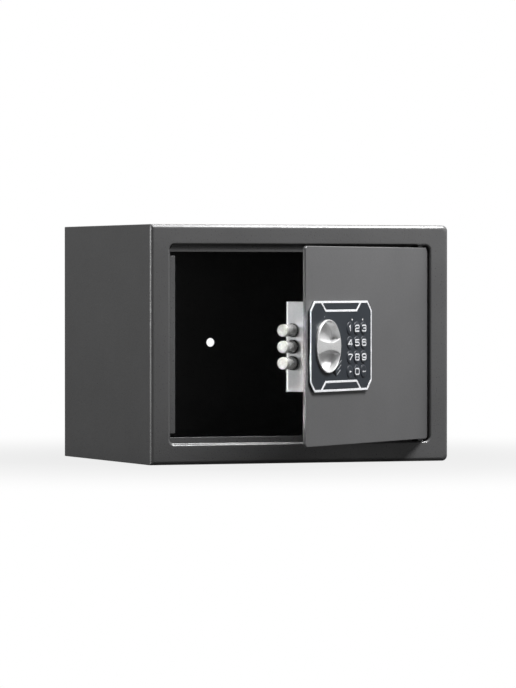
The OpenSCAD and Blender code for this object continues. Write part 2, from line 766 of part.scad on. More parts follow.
module inner_cover() color([0.1, 0.1, 0.1]) on_door() difference() {
    union() {
        difference() {
            block([cover_left, door_t, panel_z - cover_h / 2],
                  [cover_right, cover_back, panel_z + cover_h / 2]);
            block([cover_left + cover_wall, door_t - spill, panel_z - cover_h / 2 + cover_wall],
                  [cover_right - cover_wall, cover_back - cover_wall, panel_z + cover_h / 2 - cover_wall]);
        }
        cover_corners() bar(0, 0, stand_y, cover_back - spill, boss_r);
    }
    cover_corners() {
        bar(0, 0, 0, cover_back + spill, screw_r + 0.2);
        bar(0, 0, cover_back - 1.2, cover_back + spill, head_r + 0.2);
    }
    // notch over the moulding behind the lock panel
    block([cover_left - spill, 0, panel_z - tub_h / 2 - tub_gap],
          [cover_left + cover_wall + spill, tub_back + slip, panel_z + tub_h / 2 + tub_gap]);
    translate([tray_x, 0, panel_z])
        slab(cover_back - cover_wall - spill, cover_back + spill)
            round_rect(hatch_w, hatch_h, hatch_r);
}

module cover_standoffs() color("silver") on_door() cover_corners() difference() {
    bar(0, 0, door_t, stand_y, stand_r);
    bar(0, 0, door_t + 1, stand_y + spill, screw_r + run_fit);
}

module cover_screws() color("silver") on_door() cover_corners() {
    bar(0, 0, door_t + 1.5, cover_back - 1.2, screw_r);
    bar(0, 0, cover_back - 1.2, cover_back - 0.1, head_r);
}

module battery_tray() color([0.08, 0.08, 0.08]) on_door() difference() {
    block([tray_x - tray_w / 2, door_t, panel_z - tray_h / 2],
          [tray_x + tray_w / 2, door_t + tray_deep, panel_z + tray_h / 2]);
    block([tray_x - tray_w / 2 + tray_wall, door_t + tray_wall, panel_z - tray_h / 2 + tray_wall],
          [tray_x + tray_w / 2 - tray_wall, door_t + tray_deep + spill, panel_z + tray_h / 2 - tray_wall]);
}

module cell_places()
    for (k = [-1.5, -0.5, 0.5, 1.5]) translate([tray_x + k * cell_pitch, 0, panel_z]) children();

module battery_contacts() color("silver") on_door() cell_places()
    for (s = [0, 1]) mirror([0, 0, s]) {
        block([-4, door_t + tray_wall, -tray_h / 2 + tray_wall],
              [4, door_t + tray_deep, -tray_h / 2 + tray_wall + 0.5]);
        translate([0, door_t + tray_wall + 0.1 + cell_r, -tray_h / 2 + tray_wall + 0.5])
            cylinder(r1 = 3, r2 = 2, h = (tray_h - cell_len) / 2 - tray_wall - 1.5);
    }

module batteries() color("olivedrab") on_door() cell_places()
    translate([0, door_t + tray_wall + 0.1 + cell_r, -cell_len / 2]) {
        cylinder(r = cell_r, h = cell_len);
        translate([0, 0, cell_len]) cylinder(r = 2.7, h = 0.9);
    }

module battery_hatch() color([0.12, 0.12, 0.12]) on_door()
    translate([tray_x, 0, panel_z]) slab(cover_back - cover_wall, cover_back)
        round_rect(hatch_w - 2 * slip, hatch_h - 2 * slip, hatch_r - slip);

// Leads, held along square routes
module lead(path) {
    for (p = path) translate(p) sphere(lead_r);
    for (k = [0:len(path) - 2]) {
        step = path[k + 1] - path[k];
        long = norm(step);
        turn = step.x != 0 ? [0, step.x > 0 ? 90 : -90, 0]
             : step.y != 0 ? [step.y > 0 ? -90 : 90, 0, 0] : [0, step.z > 0 ? 0 : 180, 0];
        translate(path[k]) rotate(turn) cylinder(r = lead_r, h = long);
    }
}

module battery_lead() color("firebrick") on_door()
    lead([[lead_x[1], board_y + board_t + lead_r, panel_z], [lead_x[1], lead_y, panel_z],
          [tray_x - tray_w / 2 - lead_r, lead_y, panel_z]]);

module solenoid_lead() color("firebrick") on_door()
    lead([[lead_x[0], board_y + board_t + lead_r, lead_from_z], [lead_x[0], lead_y, lead_from_z],
          [lead_x[0], lead_y, lead_z], [notch_x + coil_w / 2 + lead_r, lead_y, lead_z]]);

body_shell();
back_panel();
hinge_bracket_upper();
hinge_bracket_lower();
door_plate();
hinge_rod();
lock_panel();
panel_line();
signal_lamps();
circuit_board();
contact_domes();
panel_screws();
key_cover();
emergency_lock_body();
emergency_plug();
knob();
knob_spindle();
crank();
bolt_bracket();
bracket_screws();
guide_pins();
slide_plate();
locking_bolts();
solenoid_body();
solenoid_plunger();
inner_cover();
cover_standoffs();
cover_screws();
battery_tray();
battery_contacts();
batteries();
battery_hatch();
battery_lead();
solenoid_lead();
keypad_key(0);  // key_1
keypad_key(1);  // key_2
keypad_key(2);  // key_3
keypad_key(3);  // key_4
keypad_key(4);  // key_5
keypad_key(5);  // key_6
keypad_key(6);  // key_7
keypad_key(7);  // key_8
keypad_key(8);  // key_9
keypad_key(9);  // key_clear
keypad_key(10);  // key_0
keypad_key(11);  // key_enter
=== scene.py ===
"""Furniture safe with its door open: a folded steel cabinet, a plate door on a hinge rod, and an
electronic lock with a turn knob, twelve keys and three bolts. The sections follow the order in
which such a safe is put together. Lengths are metres, written as millimetres times mm."""

import json
import math

import bpy
import bmesh
import numpy as np
from mathutils.geometry import delaunay_2d_cdt
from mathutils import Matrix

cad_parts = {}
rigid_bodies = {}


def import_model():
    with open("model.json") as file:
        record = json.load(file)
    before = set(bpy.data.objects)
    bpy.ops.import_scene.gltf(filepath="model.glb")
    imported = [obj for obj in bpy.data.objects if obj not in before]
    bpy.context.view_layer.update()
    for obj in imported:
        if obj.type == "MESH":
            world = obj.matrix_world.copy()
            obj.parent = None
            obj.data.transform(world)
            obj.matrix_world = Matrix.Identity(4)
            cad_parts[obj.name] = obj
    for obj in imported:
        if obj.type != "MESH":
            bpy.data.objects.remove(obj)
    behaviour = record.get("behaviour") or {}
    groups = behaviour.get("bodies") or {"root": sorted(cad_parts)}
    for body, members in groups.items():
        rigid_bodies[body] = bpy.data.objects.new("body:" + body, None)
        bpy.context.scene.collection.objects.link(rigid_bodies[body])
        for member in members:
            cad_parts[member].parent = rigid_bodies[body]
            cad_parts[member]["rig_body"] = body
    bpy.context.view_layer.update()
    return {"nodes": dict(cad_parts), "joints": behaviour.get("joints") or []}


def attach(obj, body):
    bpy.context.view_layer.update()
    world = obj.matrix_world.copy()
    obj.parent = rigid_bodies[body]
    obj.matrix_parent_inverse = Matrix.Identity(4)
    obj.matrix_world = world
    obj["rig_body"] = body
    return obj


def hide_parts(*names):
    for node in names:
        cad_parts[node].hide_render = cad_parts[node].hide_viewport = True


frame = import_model()
mm = 0.001

# Camera
# A long lens looks at the safe from the left of its front and from the height of its upper half,
# so the left side, the front frame and the opened door are seen together.
VIEW_YAW = math.radians(21.536)
VIEW_DOWN = math.radians(0.806)
VIEW_FOCAL_PX = 4511
FRAME_HIGH_PX = 688
SENSOR = 36

scene = bpy.context.scene
eye = bpy.data.cameras.new("eye")
eye.sensor_fit = "VERTICAL"
eye.sensor_height = SENSOR
eye.lens = VIEW_FOCAL_PX / FRAME_HIGH_PX * SENSOR
eye.clip_start = 0.1
eye.clip_end = 50
camera = bpy.data.objects.new("camera", eye)
camera.location = (-1.6366, -4.1580, 0.1762)
camera.rotation_euler = (math.pi / 2 - VIEW_DOWN, 0, -VIEW_YAW)
scene.collection.objects.link(camera)
scene.camera = camera

# Studio
# A pale table and an even pale surround, white to the camera and partly white to mirror-like metal.
# The light comes from a low grey surround, soft boxes above and to the left, a card behind, and a
# narrow lamp on the ends of the bolts.
FLOOR_REACH = 6.0
SURROUND_LIGHT = 0.07
MIRROR_WHITE = 0.22              # share of the white that gloss sees in the surround
MIRROR_TABLE = 0.08              # and in the table
SHADOW_REACH = (0.15, 0.75)      # distances between which the safe's shadow fades out
SHADOW_WHITE = 0.84              # share of white that the table has near the safe
BEAM_SPREAD = 5                  # angle of the narrow lamp's cone

scene.view_settings.view_transform = "Standard"


def add_node(tree, kind, inputs=None, **settings):
    """Adds a shader node with its settings. The value for an input is linked where it is another
    node's socket, and set where it is a number, a vector or a colour."""
    node = tree.nodes.new("ShaderNode" + kind)
    for setting, value in settings.items():
        setattr(node, setting, value)
    for title, value in (inputs or {}).items():
        if isinstance(value, bpy.types.NodeSocket):
            tree.links.new(value, node.inputs[title])
        else:
            node.inputs[title].default_value = value
    return node


def reckon(tree, operation, first, second):
    """The result of a sum on two numbers or sockets."""
    return add_node(tree, "Math", {0: first, 1: second}, operation=operation).outputs[0]


def shown_white(tree, plain, white, share, mirror):
    """A shader for what surrounds the object: to the camera it is white by the given share, in
    mirrors the given part of that, and for all other light it is the plain one."""
    path = add_node(tree, "LightPath").outputs
    mirrored = reckon(tree, "MULTIPLY", path["Is Glossy Ray"], mirror)
    seen = reckon(tree, "MAXIMUM", path["Is Camera Ray"], mirrored)
    through = reckon(tree, "MAXIMUM", seen, path["Is Transmission Ray"])
    part = reckon(tree, "MULTIPLY", through, share)
    return add_node(tree, "MixShader", {0: part, 1: plain, 2: white}).outputs[0]


world = bpy.data.worlds.new("surround")
scene.world = world
world.use_nodes = True
tree = world.node_tree
tree.nodes.clear()
dim = add_node(tree, "Background", {"Color": (0.80, 0.81, 0.82, 1), "Strength": SURROUND_LIGHT})
white = add_node(tree, "Background", {"Color": (1, 1, 1, 1)})
add_node(tree, "OutputWorld", {
    "Surface": shown_white(tree, dim.outputs[0], white.outputs[0], 1.0, MIRROR_WHITE)})

floor_mesh = bpy.data.meshes.new("floor")
floor_mesh.from_pydata(
    [(-FLOOR_REACH, -FLOOR_REACH, 0), (FLOOR_REACH, -FLOOR_REACH, 0),
     (FLOOR_REACH, FLOOR_REACH, 0), (-FLOOR_REACH, FLOOR_REACH, 0)], [], [(0, 1, 2, 3)])
floor = bpy.data.objects.new("floor", floor_mesh)
scene.collection.objects.link(floor)
paper = bpy.data.materials.new("paper")
paper.use_nodes = True
tree = paper.node_tree
tree.nodes.clear()
matt = add_node(tree, "BsdfDiffuse", {"Color": (0.05, 0.05, 0.05, 1)})
glow = add_node(tree, "Emission", {"Color": (1, 1, 1, 1), "Strength": 1})
where = add_node(tree, "TexCoord").outputs["Object"]
far = add_node(tree, "VectorMath", {0: where}, operation="LENGTH").outputs["Value"]
fade = add_node(tree, "MapRange", {
    "Value": far, "From Min": SHADOW_REACH[0], "From Max": SHADOW_REACH[1],
    "To Min": SHADOW_WHITE, "To Max": 1.0}, interpolation_type="SMOOTHSTEP").outputs["Result"]
add_node(tree, "OutputMaterial", {
    "Surface": shown_white(tree, matt.outputs[0], glow.outputs[0], fade, MIRROR_TABLE)})
floor.data.materials.append(paper)


def soft_box(name, place, aim, size, watts):
    """A rectangular soft lamp at a place, turned to face the aim."""
    lamp = bpy.data.lights.new(name, "AREA")
    lamp.shape = "RECTANGLE"
    lamp.size, lamp.size_y = size
    lamp.energy = watts
    holder = bpy.data.objects.new(name, lamp)
    holder.location = place
    away = np.array(place) - np.array(aim)
    flat = math.hypot(away[0], away[1])
    holder.rotation_euler = (math.atan2(flat, away[2]), 0, math.atan2(away[0], -away[1]))
    scene.collection.objects.link(holder)
    return lamp


soft_box("box_key", place=(0.53, -0.58, 1.10), aim=(0, -0.14, 0.18), size=(0.40, 0.40), watts=28.5)
soft_box("box_top", place=(0.40, -0.05, 1.25), aim=(0, -0.12, 0.23), size=(1.2, 0.25), watts=12)
soft_box("box_left", place=(-1.52, 0.00, 0.24), aim=(-0.155, -0.10, 0.12), size=(1.0, 0.34), watts=8)
soft_box("card_back", place=(1.25, 0.95, 1.05), aim=(-0.10, -0.30, 0.12), size=(0.9, 0.9), watts=4.5)
beam = soft_box("beam_bolts", place=(-1.15, -1.05, 1.20), aim=(-0.115, -0.315, 0.124),
                size=(0.06, 0.06), watts=0.085)
beam.spread = math.radians(BEAM_SPREAD)

# Cabinet shell
# One folded steel sheet: sides, top, bottom and front frame, with round bends along the front and
# into the door opening. Behind the opening the same sheet steps back as a ledge that stops the
# door. It is powder coated in dark grey with a fine leathery skin.
BODY_W, BODY_D, BODY_H = 310, 250, 230
SHEET = 1.5
FRAME_W = 19.5
EDGE_R = 4
SEAM_R = 0.9                     # outer corner where the folded top meets the side
BACK_ROUND = 0.3
OPENING_R = 5
BEND_OUT = 2
BEND_IN = 1.5
STOP_STEP = 3.5
STOP_W = 6.75
STOP_NOTCH = 3.9
STOP_CORNER_R, STOP_END_R = 3.4, 0.5
STOP_LAP = 0.02                  # how far the ledge's strips reach into the bend
RELIEF_X = 116.8                 # the stop is cut away past here, beside the hinge
RELIEF_DEPTH = 2.2
MID_Z = BODY_H / 2
OPENING = np.array([BODY_W / 2 - FRAME_W, BODY_H / 2 - FRAME_W])


def cabinet_place(points):
    """Points given as x, depth behind the front face and z, in the frame's axes."""
    return points + np.array([0, -BODY_D / 2, 0])


def unit(rows):
    """Directions, each of length one."""
    return rows / np.linalg.norm(rows, axis=-1, keepdims=True)


def rounded(corners, radius, steps=8):
    """A closed outline with round corners. Each corner becomes an arc that touches both of its
    sides, radius / tan(half the corner's angle) away from the corner."""
    corners = np.asarray(corners, float)
    radius = np.broadcast_to(radius, len(corners)).astype(float)
    ahead = unit(np.roll(corners, -1, 0) - corners)
    behind = unit(np.roll(corners, 1, 0) - corners)
    half = np.arccos(np.clip((ahead * behind).sum(1), -1, 1)) / 2
    middle = unit(ahead + behind)
    centre = corners + middle * (radius / np.sin(half))[:, None]
    first = corners + behind * (radius / np.tan(half))[:, None] - centre
    last = corners + ahead * (radius / np.tan(half))[:, None] - centre
    start = np.arctan2(first[:, 1], first[:, 0])
    sweep = np.arctan2(last[:, 1], last[:, 0]) - start
    sweep = (sweep + math.pi) % (2 * math.pi) - math.pi
    angle = start[:, None] + sweep[:, None] * np.linspace(0, 1, steps)
    arcs = np.stack([np.cos(angle), np.sin(angle)], -1) * radius[:, None, None]
    return (centre[:, None] + arcs).reshape(-1, 2)


def arc(centre, radius, start, end, steps):
    """Points of a circular arc in the plane of a profile, from one angle in degrees to another."""
    angle = np.radians(np.linspace(start, end, steps))
    return np.stack([centre[0] + radius * np.cos(angle), centre[1] + radius * np.sin(angle)], 1)


def grid_faces(rows, columns, close_rows=False, close_columns=False):
    """Four-sided faces between neighbouring rows and columns of a grid of points."""
    index = np.arange(rows * columns).reshape(rows, columns)
    if close_rows:
        index = np.vstack([index, index[:1]])
    if close_columns:
        index = np.hstack([index, index[:, :1]])
    return np.stack([index[:-1, :-1], index[:-1, 1:], index[1:, 1:], index[1:, :-1]], -1).reshape(-1, 4)


def joined(*shapes):
    """Several shapes as one. A shape is its points and its blocks of faces, and each shape's faces
    are renumbered by the number of points before it."""
    starts = np.cumsum([0] + [len(points) for points, _ in shapes[:-1]])
    return (np.vstack([points for points, _ in shapes]),
            [block + start for (_, blocks), start in zip(shapes, starts) for block in blocks])


def add_piece(name, shape, body, slot, material, replaces=(), soften=0.0, crease=38, marks=None):
    """Makes a piece from a shape in millimetres: doubles are merged, faces turned outwards, edges
    of a CAD shape rounded by a bevel, and shading weighted towards the large flat faces."""
    points, blocks = shape
    mesh = bpy.data.meshes.new(name)
    mesh.from_pydata((points * mm).tolist(), [], [face for block in blocks for face in block.tolist()])
    for title, values in (marks or {}).items():
        mesh.attributes.new(title, "FLOAT", "POINT").data.foreach_set("value", values.astype(np.float32))
    work = bmesh.new()
    work.from_mesh(mesh)
    bmesh.ops.remove_doubles(work, verts=work.verts, dist=1e-6)
    bmesh.ops.dissolve_degenerate(work, dist=1e-7, edges=work.edges)
    if soften:
        bmesh.ops.dissolve_limit(work, angle_limit=math.radians(0.5), verts=work.verts, edges=work.edges)
    bmesh.ops.recalc_face_normals(work, faces=work.faces)
    work.to_mesh(mesh)
    work.free()
    mesh.shade_smooth()
    mesh.set_sharp_from_angle(angle=math.radians(crease))
    mesh.materials.append(material)
    piece = bpy.data.objects.new(name, mesh)
    scene.collection.objects.link(piece)
    if soften:
        bevel = piece.modifiers.new("soften", "BEVEL")
        bevel.width = soften * mm
        bevel.segments = 2
        bevel.limit_method = "ANGLE"
        bevel.angle_limit = math.radians(crease)
    weight = piece.modifiers.new("face_weight", "WEIGHTED_NORMAL")
    weight.keep_sharp = True
    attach(piece, body)
    if replaces:
        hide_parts(*replaces)
    return piece


def frame_loop(half, radius, steps=10):
    """Points around a rounded rectangle about the opening's middle, with two more pairs on the top
    and bottom sides where the stop's cut begins."""
    a, b = half
    quarter = arc((0, 0), radius, 0, 90, steps)
    turn = [quarter, quarter[::-1] * [-1, 1], -quarter, quarter[::-1] * [1, -1]]
    cut = np.array([[RELIEF_X + 0.01, 0], [RELIEF_X - 0.01, 0]])
    return np.vstack([turn[0] + [a - radius, b - radius], cut + [0, b],
                      turn[1] + [-a + radius, b - radius],
                      turn[2] + [-a + radius, -b + radius], cut[::-1] + [0, -b],
                      turn[3] + [a - radius, -b + radius]])


def shell_shape():
    """The sheet's closed profile, in distance outwards from the opening and in depth, carried round
    the opening. The corner radius grows with the distance over the bend, then shrinks to the
    seam's. Beside the hinge the profile is cut off behind the bend. The points at 5 and 11 along
    the frame and at 40 and 120 along the sides only divide the flats."""
    outer_u = FRAME_W - EDGE_R
    inner_u = FRAME_W - SHEET
    profile = np.vstack([
        arc((-BEND_IN, BEND_OUT), BEND_IN, 90, 0, 7),
        arc((BEND_OUT, BEND_OUT), BEND_OUT, 180, 270, 9)[1:],
        [[5, 0], [11, 0]],
        arc((outer_u, EDGE_R), EDGE_R, -90, 0, 11),
        [[FRAME_W, 40], [FRAME_W, 120], [FRAME_W, BODY_D - BACK_ROUND], [FRAME_W - BACK_ROUND, BODY_D],
         [inner_u + BACK_ROUND, BODY_D], [inner_u, BODY_D - BACK_ROUND], [inner_u, 120], [inner_u, 40]],
        arc((outer_u, EDGE_R), EDGE_R - SHEET, 0, -90, 7),
        arc((BEND_OUT, BEND_OUT), BEND_OUT - SHEET, 270, 180, 5),
        arc((-BEND_IN, BEND_OUT), BEND_IN + SHEET, 0, 90, 7)])
    u, depth = profile.T
    radius = np.where(u <= BEND_OUT, OPENING_R + u,
                      np.interp(u, [BEND_OUT, outer_u], [OPENING_R + BEND_OUT, SEAM_R]))
    loops = np.array([frame_loop(OPENING + reach, r) for reach, r in zip(u, radius)])
    cut_loops = np.array([frame_loop(OPENING + reach, r)
                          for reach, r in zip(np.maximum(u, 0), np.maximum(radius, OPENING_R))])
    beside_hinge = loops[:, :, 0] > RELIEF_X
    place = np.where(beside_hinge[:, :, None], cut_loops, loops)
    near = beside_hinge & (u < BEND_OUT)[:, None]
    deep = np.where(near, np.minimum(depth, RELIEF_DEPTH)[:, None], depth[:, None])
    points = np.stack([place[:, :, 0], deep, place[:, :, 1] + MID_Z], -1)
    return cabinet_place(points.reshape(-1, 3)), [grid_faces(*points.shape[:2], True, True)]


def leftward(path, closed=True):
    """The step to the left of a path that shifts it by one, at each point along the mitre of its
    two sides. An open path is squared off at its ends."""
    ahead = unit(np.roll(path, -1, 0) - path)
    behind = np.roll(ahead, 1, 0)
    if not closed:
        ahead[-1], behind[0] = behind[-1], ahead[0]
    both = ahead + behind
    return np.stack([-both[:, 1], both[:, 0]], 1) / (1 + (ahead * behind).sum(1))[:, None]


def inset(outline, distance):
    """Moves a closed outline to its left."""
    return outline + distance * leftward(outline)


def filled(outlines, inner=None):
    """Delaunay triangles between closed outlines, as numbers into their joined points. A triangle
    is kept where a level line from its middle crosses the outlines an odd number of times. Points
    of inner lie between the outlines and carry the curve of a domed face."""
    starts = np.cumsum([0] + [len(outline) for outline in outlines[:-1]])
    edges = np.vstack([
        start + np.stack([np.arange(len(outline)), np.roll(np.arange(len(outline)), -1)], 1)
        for outline, start in zip(outlines, starts)])
    points = np.vstack(list(outlines) + ([inner] if inner is not None else []))
    found = delaunay_2d_cdt(points.tolist(), edges.tolist(), [], 0, 1e-6)
    first = np.array([ids[0] for ids in found[3]])
    triangles = first[np.array(found[2])]
    middle = points[triangles].mean(1)[:, None]
    (ax, az), (bx, bz) = points[edges[:, 0]].T, points[edges[:, 1]].T
    spans = (az > middle[:, :, 1]) != (bz > middle[:, :, 1])
    with np.errstate(divide="ignore", invalid="ignore"):
        crossing = ax + (middle[:, :, 1] - az) * (bx - ax) / (bz - az)
    return triangles[(spans & (crossing > middle[:, :, 0])).sum(1) % 2 == 1]


def plate(outlines, front, back, edge, hole_edge=None, steps=4):
    """A flat sheet with rounded edges, as x, depth and z. The outer outline runs anticlockwise and
    the holes clockwise. The row at angle a of the rounding lies edge * (1 - sin a) inside the
    outline and edge * (1 - cos a) below the face."""
    angle = np.radians(np.linspace(0, 90, steps))
    rounds = [edge] + [edge if hole_edge is None else hole_edge] * (len(outlines) - 1)
    shapes = []
    for outline, size in zip(outlines, rounds):
        shift, sink = size * (1 - np.sin(angle)), size * (1 - np.cos(angle))
        depths = np.concatenate([front + sink, back - sink[::-1]])
        rows = np.array([inset(outline, d) for d in np.concatenate([shift, shift[::-1]])])
        deep = np.broadcast_to(depths[:, None], rows.shape[:2])
        points = np.stack([rows[:, :, 0], deep, rows[:, :, 1]], -1).reshape(-1, 3)
        shapes.append((points, [grid_faces(*rows.shape[:2], False, True)]))
    faces = [inset(outline, size) for outline, size in zip(outlines, rounds)]
    flat = np.vstack(faces)
    for depth in (front, back):
        points = np.stack([flat[:, 0], np.full(len(flat), depth), flat[:, 1]], -1)
        shapes.append((points, [filled(faces)]))
    return joined(*shapes)


def rectangle(x0, z0, x1, z1):
    """Corners of a rectangle, anticlockwise from its lowest left one."""
    return [(x0, z0), (x1, z0), (x1, z1), (x0, z1)]


def ledge_shape():
    """The three strips of the ledge: above, below and beside the bolts, with a notch between."""
    reach, height = OPENING - BEND_IN + STOP_LAP
    inner = OPENING - STOP_W
    side = inner[1] - STOP_NOTCH
    end, corner = STOP_END_R, STOP_CORNER_R
    strips = [
        rounded(rectangle(-reach, MID_Z + inner[1], RELIEF_X, MID_Z + height), (end, end, end, corner)),
        rounded(rectangle(-reach, MID_Z - height, RELIEF_X, MID_Z - inner[1]), (corner, end, end, end)),
        rounded(rectangle(-reach, MID_Z - side, -inner[0], MID_Z + side), 0.6)]
    points, faces = joined(*[plate([strip], STOP_STEP, STOP_STEP + SHEET, edge=0.25)
                             for strip in strips])
    return cabinet_place(points), faces


def add_finish(name, colour, roughness, metallic=0.0, specular=0.5, coat=0.0):
    """A new material whose Principled surface has these plain values, with its node tree."""
    finish = bpy.data.materials.new(name)
    finish.use_nodes = True
    surface = finish.node_tree.nodes["Principled BSDF"]
    surface.inputs["Base Color"].default_value = (*colour, 1)
    surface.inputs["Roughness"].default_value = roughness
    surface.inputs["Metallic"].default_value = metallic
    surface.inputs["Specular IOR Level"].default_value = specular
    surface.inputs["Coat Weight"].default_value = coat
    surface.inputs["Coat Roughness"].default_value = 0.15
    return finish, finish.node_tree, surface


def grain(tree, size, detail=2.0, rough=0.5, stretch=(1, 1, 1)):
    """Noise on the object's own coordinates with features of a size in millimetres."""
    where = add_node(tree, "TexCoord").outputs["Object"]
    turn = add_node(tree, "Mapping", {"Vector": where, "Scale": stretch}).outputs[0]
    return add_node(tree, "TexNoise", {"Vector": turn, "Scale": 1 / (size * mm), "Detail": detail,
                                       "Roughness": rough}).outputs["Fac"]


def vary(tree, pattern, socket, low, high, part=(0.3, 0.7)):
    """Lets a pattern move a number or a colour between two values. The pattern's low and high
    parts are stretched to the whole range."""
    spread = add_node(tree, "MapRange", {"Value": pattern, "From Min": part[0], "From Max": part[1]})
    result = spread.outputs[0]
    if isinstance(low, tuple):
        result = add_node(tree, "Mix", {"Factor": result, "A": (*low, 1), "B": (*high, 1)},
                          data_type="RGBA").outputs["Result"]
    else:
        spread.inputs["To Min"].default_value, spread.inputs["To Max"].default_value = low, high
    tree.links.new(result, socket)


def emboss(tree, surface, *layers):
    """Raises a surface by patterns, each with its height in millimetres, one bump on the next."""
    below = {}
    for pattern, height in layers:
        bump = add_node(tree, "Bump", {"Distance": height * mm, "Height": pattern, **below})
        below = {"Normal": bump.outputs[0]}
    tree.links.new(below["Normal"], surface.inputs["Normal"])


def mottled(name, tones, gloss, relief=None, **plain):
    """A finish that drifts between two tones. Its gloss is one roughness, or drifts between two,
    and its relief has a height. Whatever drifts begins with the size and detail of its grain."""
    drifts = isinstance(gloss, tuple)
    finish, tree, surface = add_finish(name, tones[1], gloss[1] if drifts else gloss, **plain)
    vary(tree, grain(tree, *tones[0]), surface.inputs["Base Color"], *tones[1:])
    if drifts:
        vary(tree, grain(tree, *gloss[0]), surface.inputs["Roughness"], *gloss[1:])
    if relief:
        emboss(tree, surface, (grain(tree, *relief[0]), relief[1]))
    return finish


def powder_coat(name, dark, light, skin, peel, roughness):
    """Powder coat: a fine leathery skin over a slow waviness, with a faint cloud in its colour."""
    finish, tree, surface = add_finish(name, dark, roughness, specular=0.85)
    fine = grain(tree, 1.3, 1)
    vary(tree, grain(tree, 45, 3), surface.inputs["Base Color"], dark, light)
    vary(tree, fine, surface.inputs["Roughness"], roughness - 0.06, roughness + 0.08)
    emboss(tree, surface, (fine, skin), (grain(tree, 4.5, 1), peel))
    return finish


cabinet_paint = powder_coat("cabinet_paint", (0.086, 0.086, 0.087), (0.096, 0.096, 0.097),
                            skin=0.075, peel=0.04, roughness=0.33)
add_piece("cabinet_shell", joined(shell_shape(), ledge_shape()), "cabinet", "cabinet_paint",
          cabinet_paint, replaces=["body_shell"])

# Back panel
# A flat steel sheet welded in behind, painted with the shell, with one hole near its middle for
# the bolt that anchors the safe to a wall.
ANCHOR_R = 4.4
ANCHOR_X, ANCHOR_Z = 1.2, MID_Z - 1.6
BACK_FIT = 0.1


def ring(place, radius, steps):
    """A round hole's outline, clockwise."""
    return arc(place, radius, 360, 0, steps + 1)[:-1]


back_x = BODY_W / 2 - SHEET - BACK_FIT
back_low, back_high = SHEET + BACK_FIT, BODY_H - SHEET - BACK_FIT
back_outline = rounded(rectangle(-back_x, back_low, back_x, back_high), 0.6)
points, faces = plate([back_outline, ring((ANCHOR_X, ANCHOR_Z), ANCHOR_R, 48)],
                      BODY_D - SHEET, BODY_D, edge=0.2)
add_piece("rear_sheet", (cabinet_place(points), faces), "cabinet", "cabinet_paint", cabinet_paint,
          replaces=["back_panel"])

# Hinge brackets
# Two small angles of zinc-plated sheet, spot welded behind the frame, that hold the ends of the
# hinge rod. The lower one has a foot that the rod stands on.


def cad_shape(node):
    """The triangles of a CAD node in millimetres, ready to be merged and rounded."""
    mesh = frame["nodes"][node].data
    points = np.empty(len(mesh.vertices) * 3)
    mesh.vertices.foreach_get("co", points)
    mesh.calc_loop_triangles()
    corners = np.empty(len(mesh.loop_triangles) * 3, int)
    mesh.loop_triangles.foreach_get("vertices", corners)
    return points.reshape(-1, 3) / mm, [corners.reshape(-1, 3)]


def soften_node(node, name, slot, material, radius):
    """A piece with the shape of a CAD node and with its sharp edges rounded, in its place."""
    body = frame["nodes"][node]["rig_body"]
    return add_piece(name, cad_shape(node), body, slot, material, replaces=[node], soften=radius)


def zinc_sheet(name, colour, spangle, roughness, metallic=1.0):
    """Zinc-coated sheet: cells of crystal that differ in tone and gloss, under a fine rolled grain."""
    finish, tree, surface = add_finish(name, colour, roughness, metallic=metallic)
    where = add_node(tree, "TexCoord").outputs["Object"]
    cells = add_node(tree, "TexVoronoi", {"Vector": where, "Scale": 1 / (spangle * mm)})
    split = add_node(tree, "SeparateColor", {0: cells.outputs["Color"]}).outputs
    dull = tuple(0.93 * part for part in colour)
    vary(tree, split[0], surface.inputs["Base Color"], dull, colour, (0, 1))
    vary(tree, split[1], surface.inputs["Roughness"], roughness - 0.02, roughness + 0.02, (0, 1))
    emboss(tree, surface, (grain(tree, 0.9, 3), 0.012), (grain(tree, 6, 2), 0.04))
    return finish


zinc = zinc_sheet("zinc_sheet", (0.78, 0.79, 0.79), spangle=3.5, roughness=0.42)
soften_node("hinge_bracket_upper", "upper_hinge_angle", "zinc_sheet", zinc, 0.35)
soften_node("hinge_bracket_lower", "lower_hinge_angle", "zinc_sheet", zinc, 0.35)

# Door plate
# A laser-cut 3 mm steel plate with round corners, powder coated a little smoother than the shell.
# Openings behind the lock panel let its housing, the emergency lock and four screws through.
DOOR_LEFT, DOOR_RIGHT = -133.5, 131.3
DOOR_LOW, DOOR_HIGH = 21.9, 208.1
DOOR_T = 3
DOOR_R = 4
DOOR_EDGE = 0.6
PANEL_X, PANEL_Z = -63.5, 114.8
HOUSING = (-118.7, 81.4, -6.65, 148.2)    # left, low, right and high side of the lock's housing
HOUSING_GAP = 0.4
PLUG_Z, PLUG_HOLE_R = 77.55, 3.2
SCREW_ACROSS, SCREW_UP, SCREW_HOLE_R = 43.333, 36.8, 1.7
PANEL_SCREWS = [(PANEL_X + side * SCREW_ACROSS, PANEL_Z + level * SCREW_UP)
                for side in (-1, 1) for level in (-1, 1)]
door_joint = next(joint for joint in frame["joints"] if joint["name"] == "door_hinge")
HINGE = np.array(door_joint["pos_m"][:2]) / mm
DOOR_TURN = math.radians(-door_joint["range_deg"][0])


def door_place(points):
    """Points given on the shut door as x, depth behind its outer face and z, turned about the
    hinge rod by the angle that the door stands open."""
    x, y, z = cabinet_place(points).T
    x, y = x - HINGE[0], y - HINGE[1]
    c, s = math.cos(DOOR_TURN), math.sin(DOOR_TURN)
    return np.stack([HINGE[0] + c * x - s * y, HINGE[1] + s * x + c * y, z], 1)


def add_door_piece(name, shape, slot, material, body="door", **more):
    """A piece whose shape is given on the shut door."""
    points, faces = shape
    return add_piece(name, (door_place(points), faces), body, slot, material, **more)


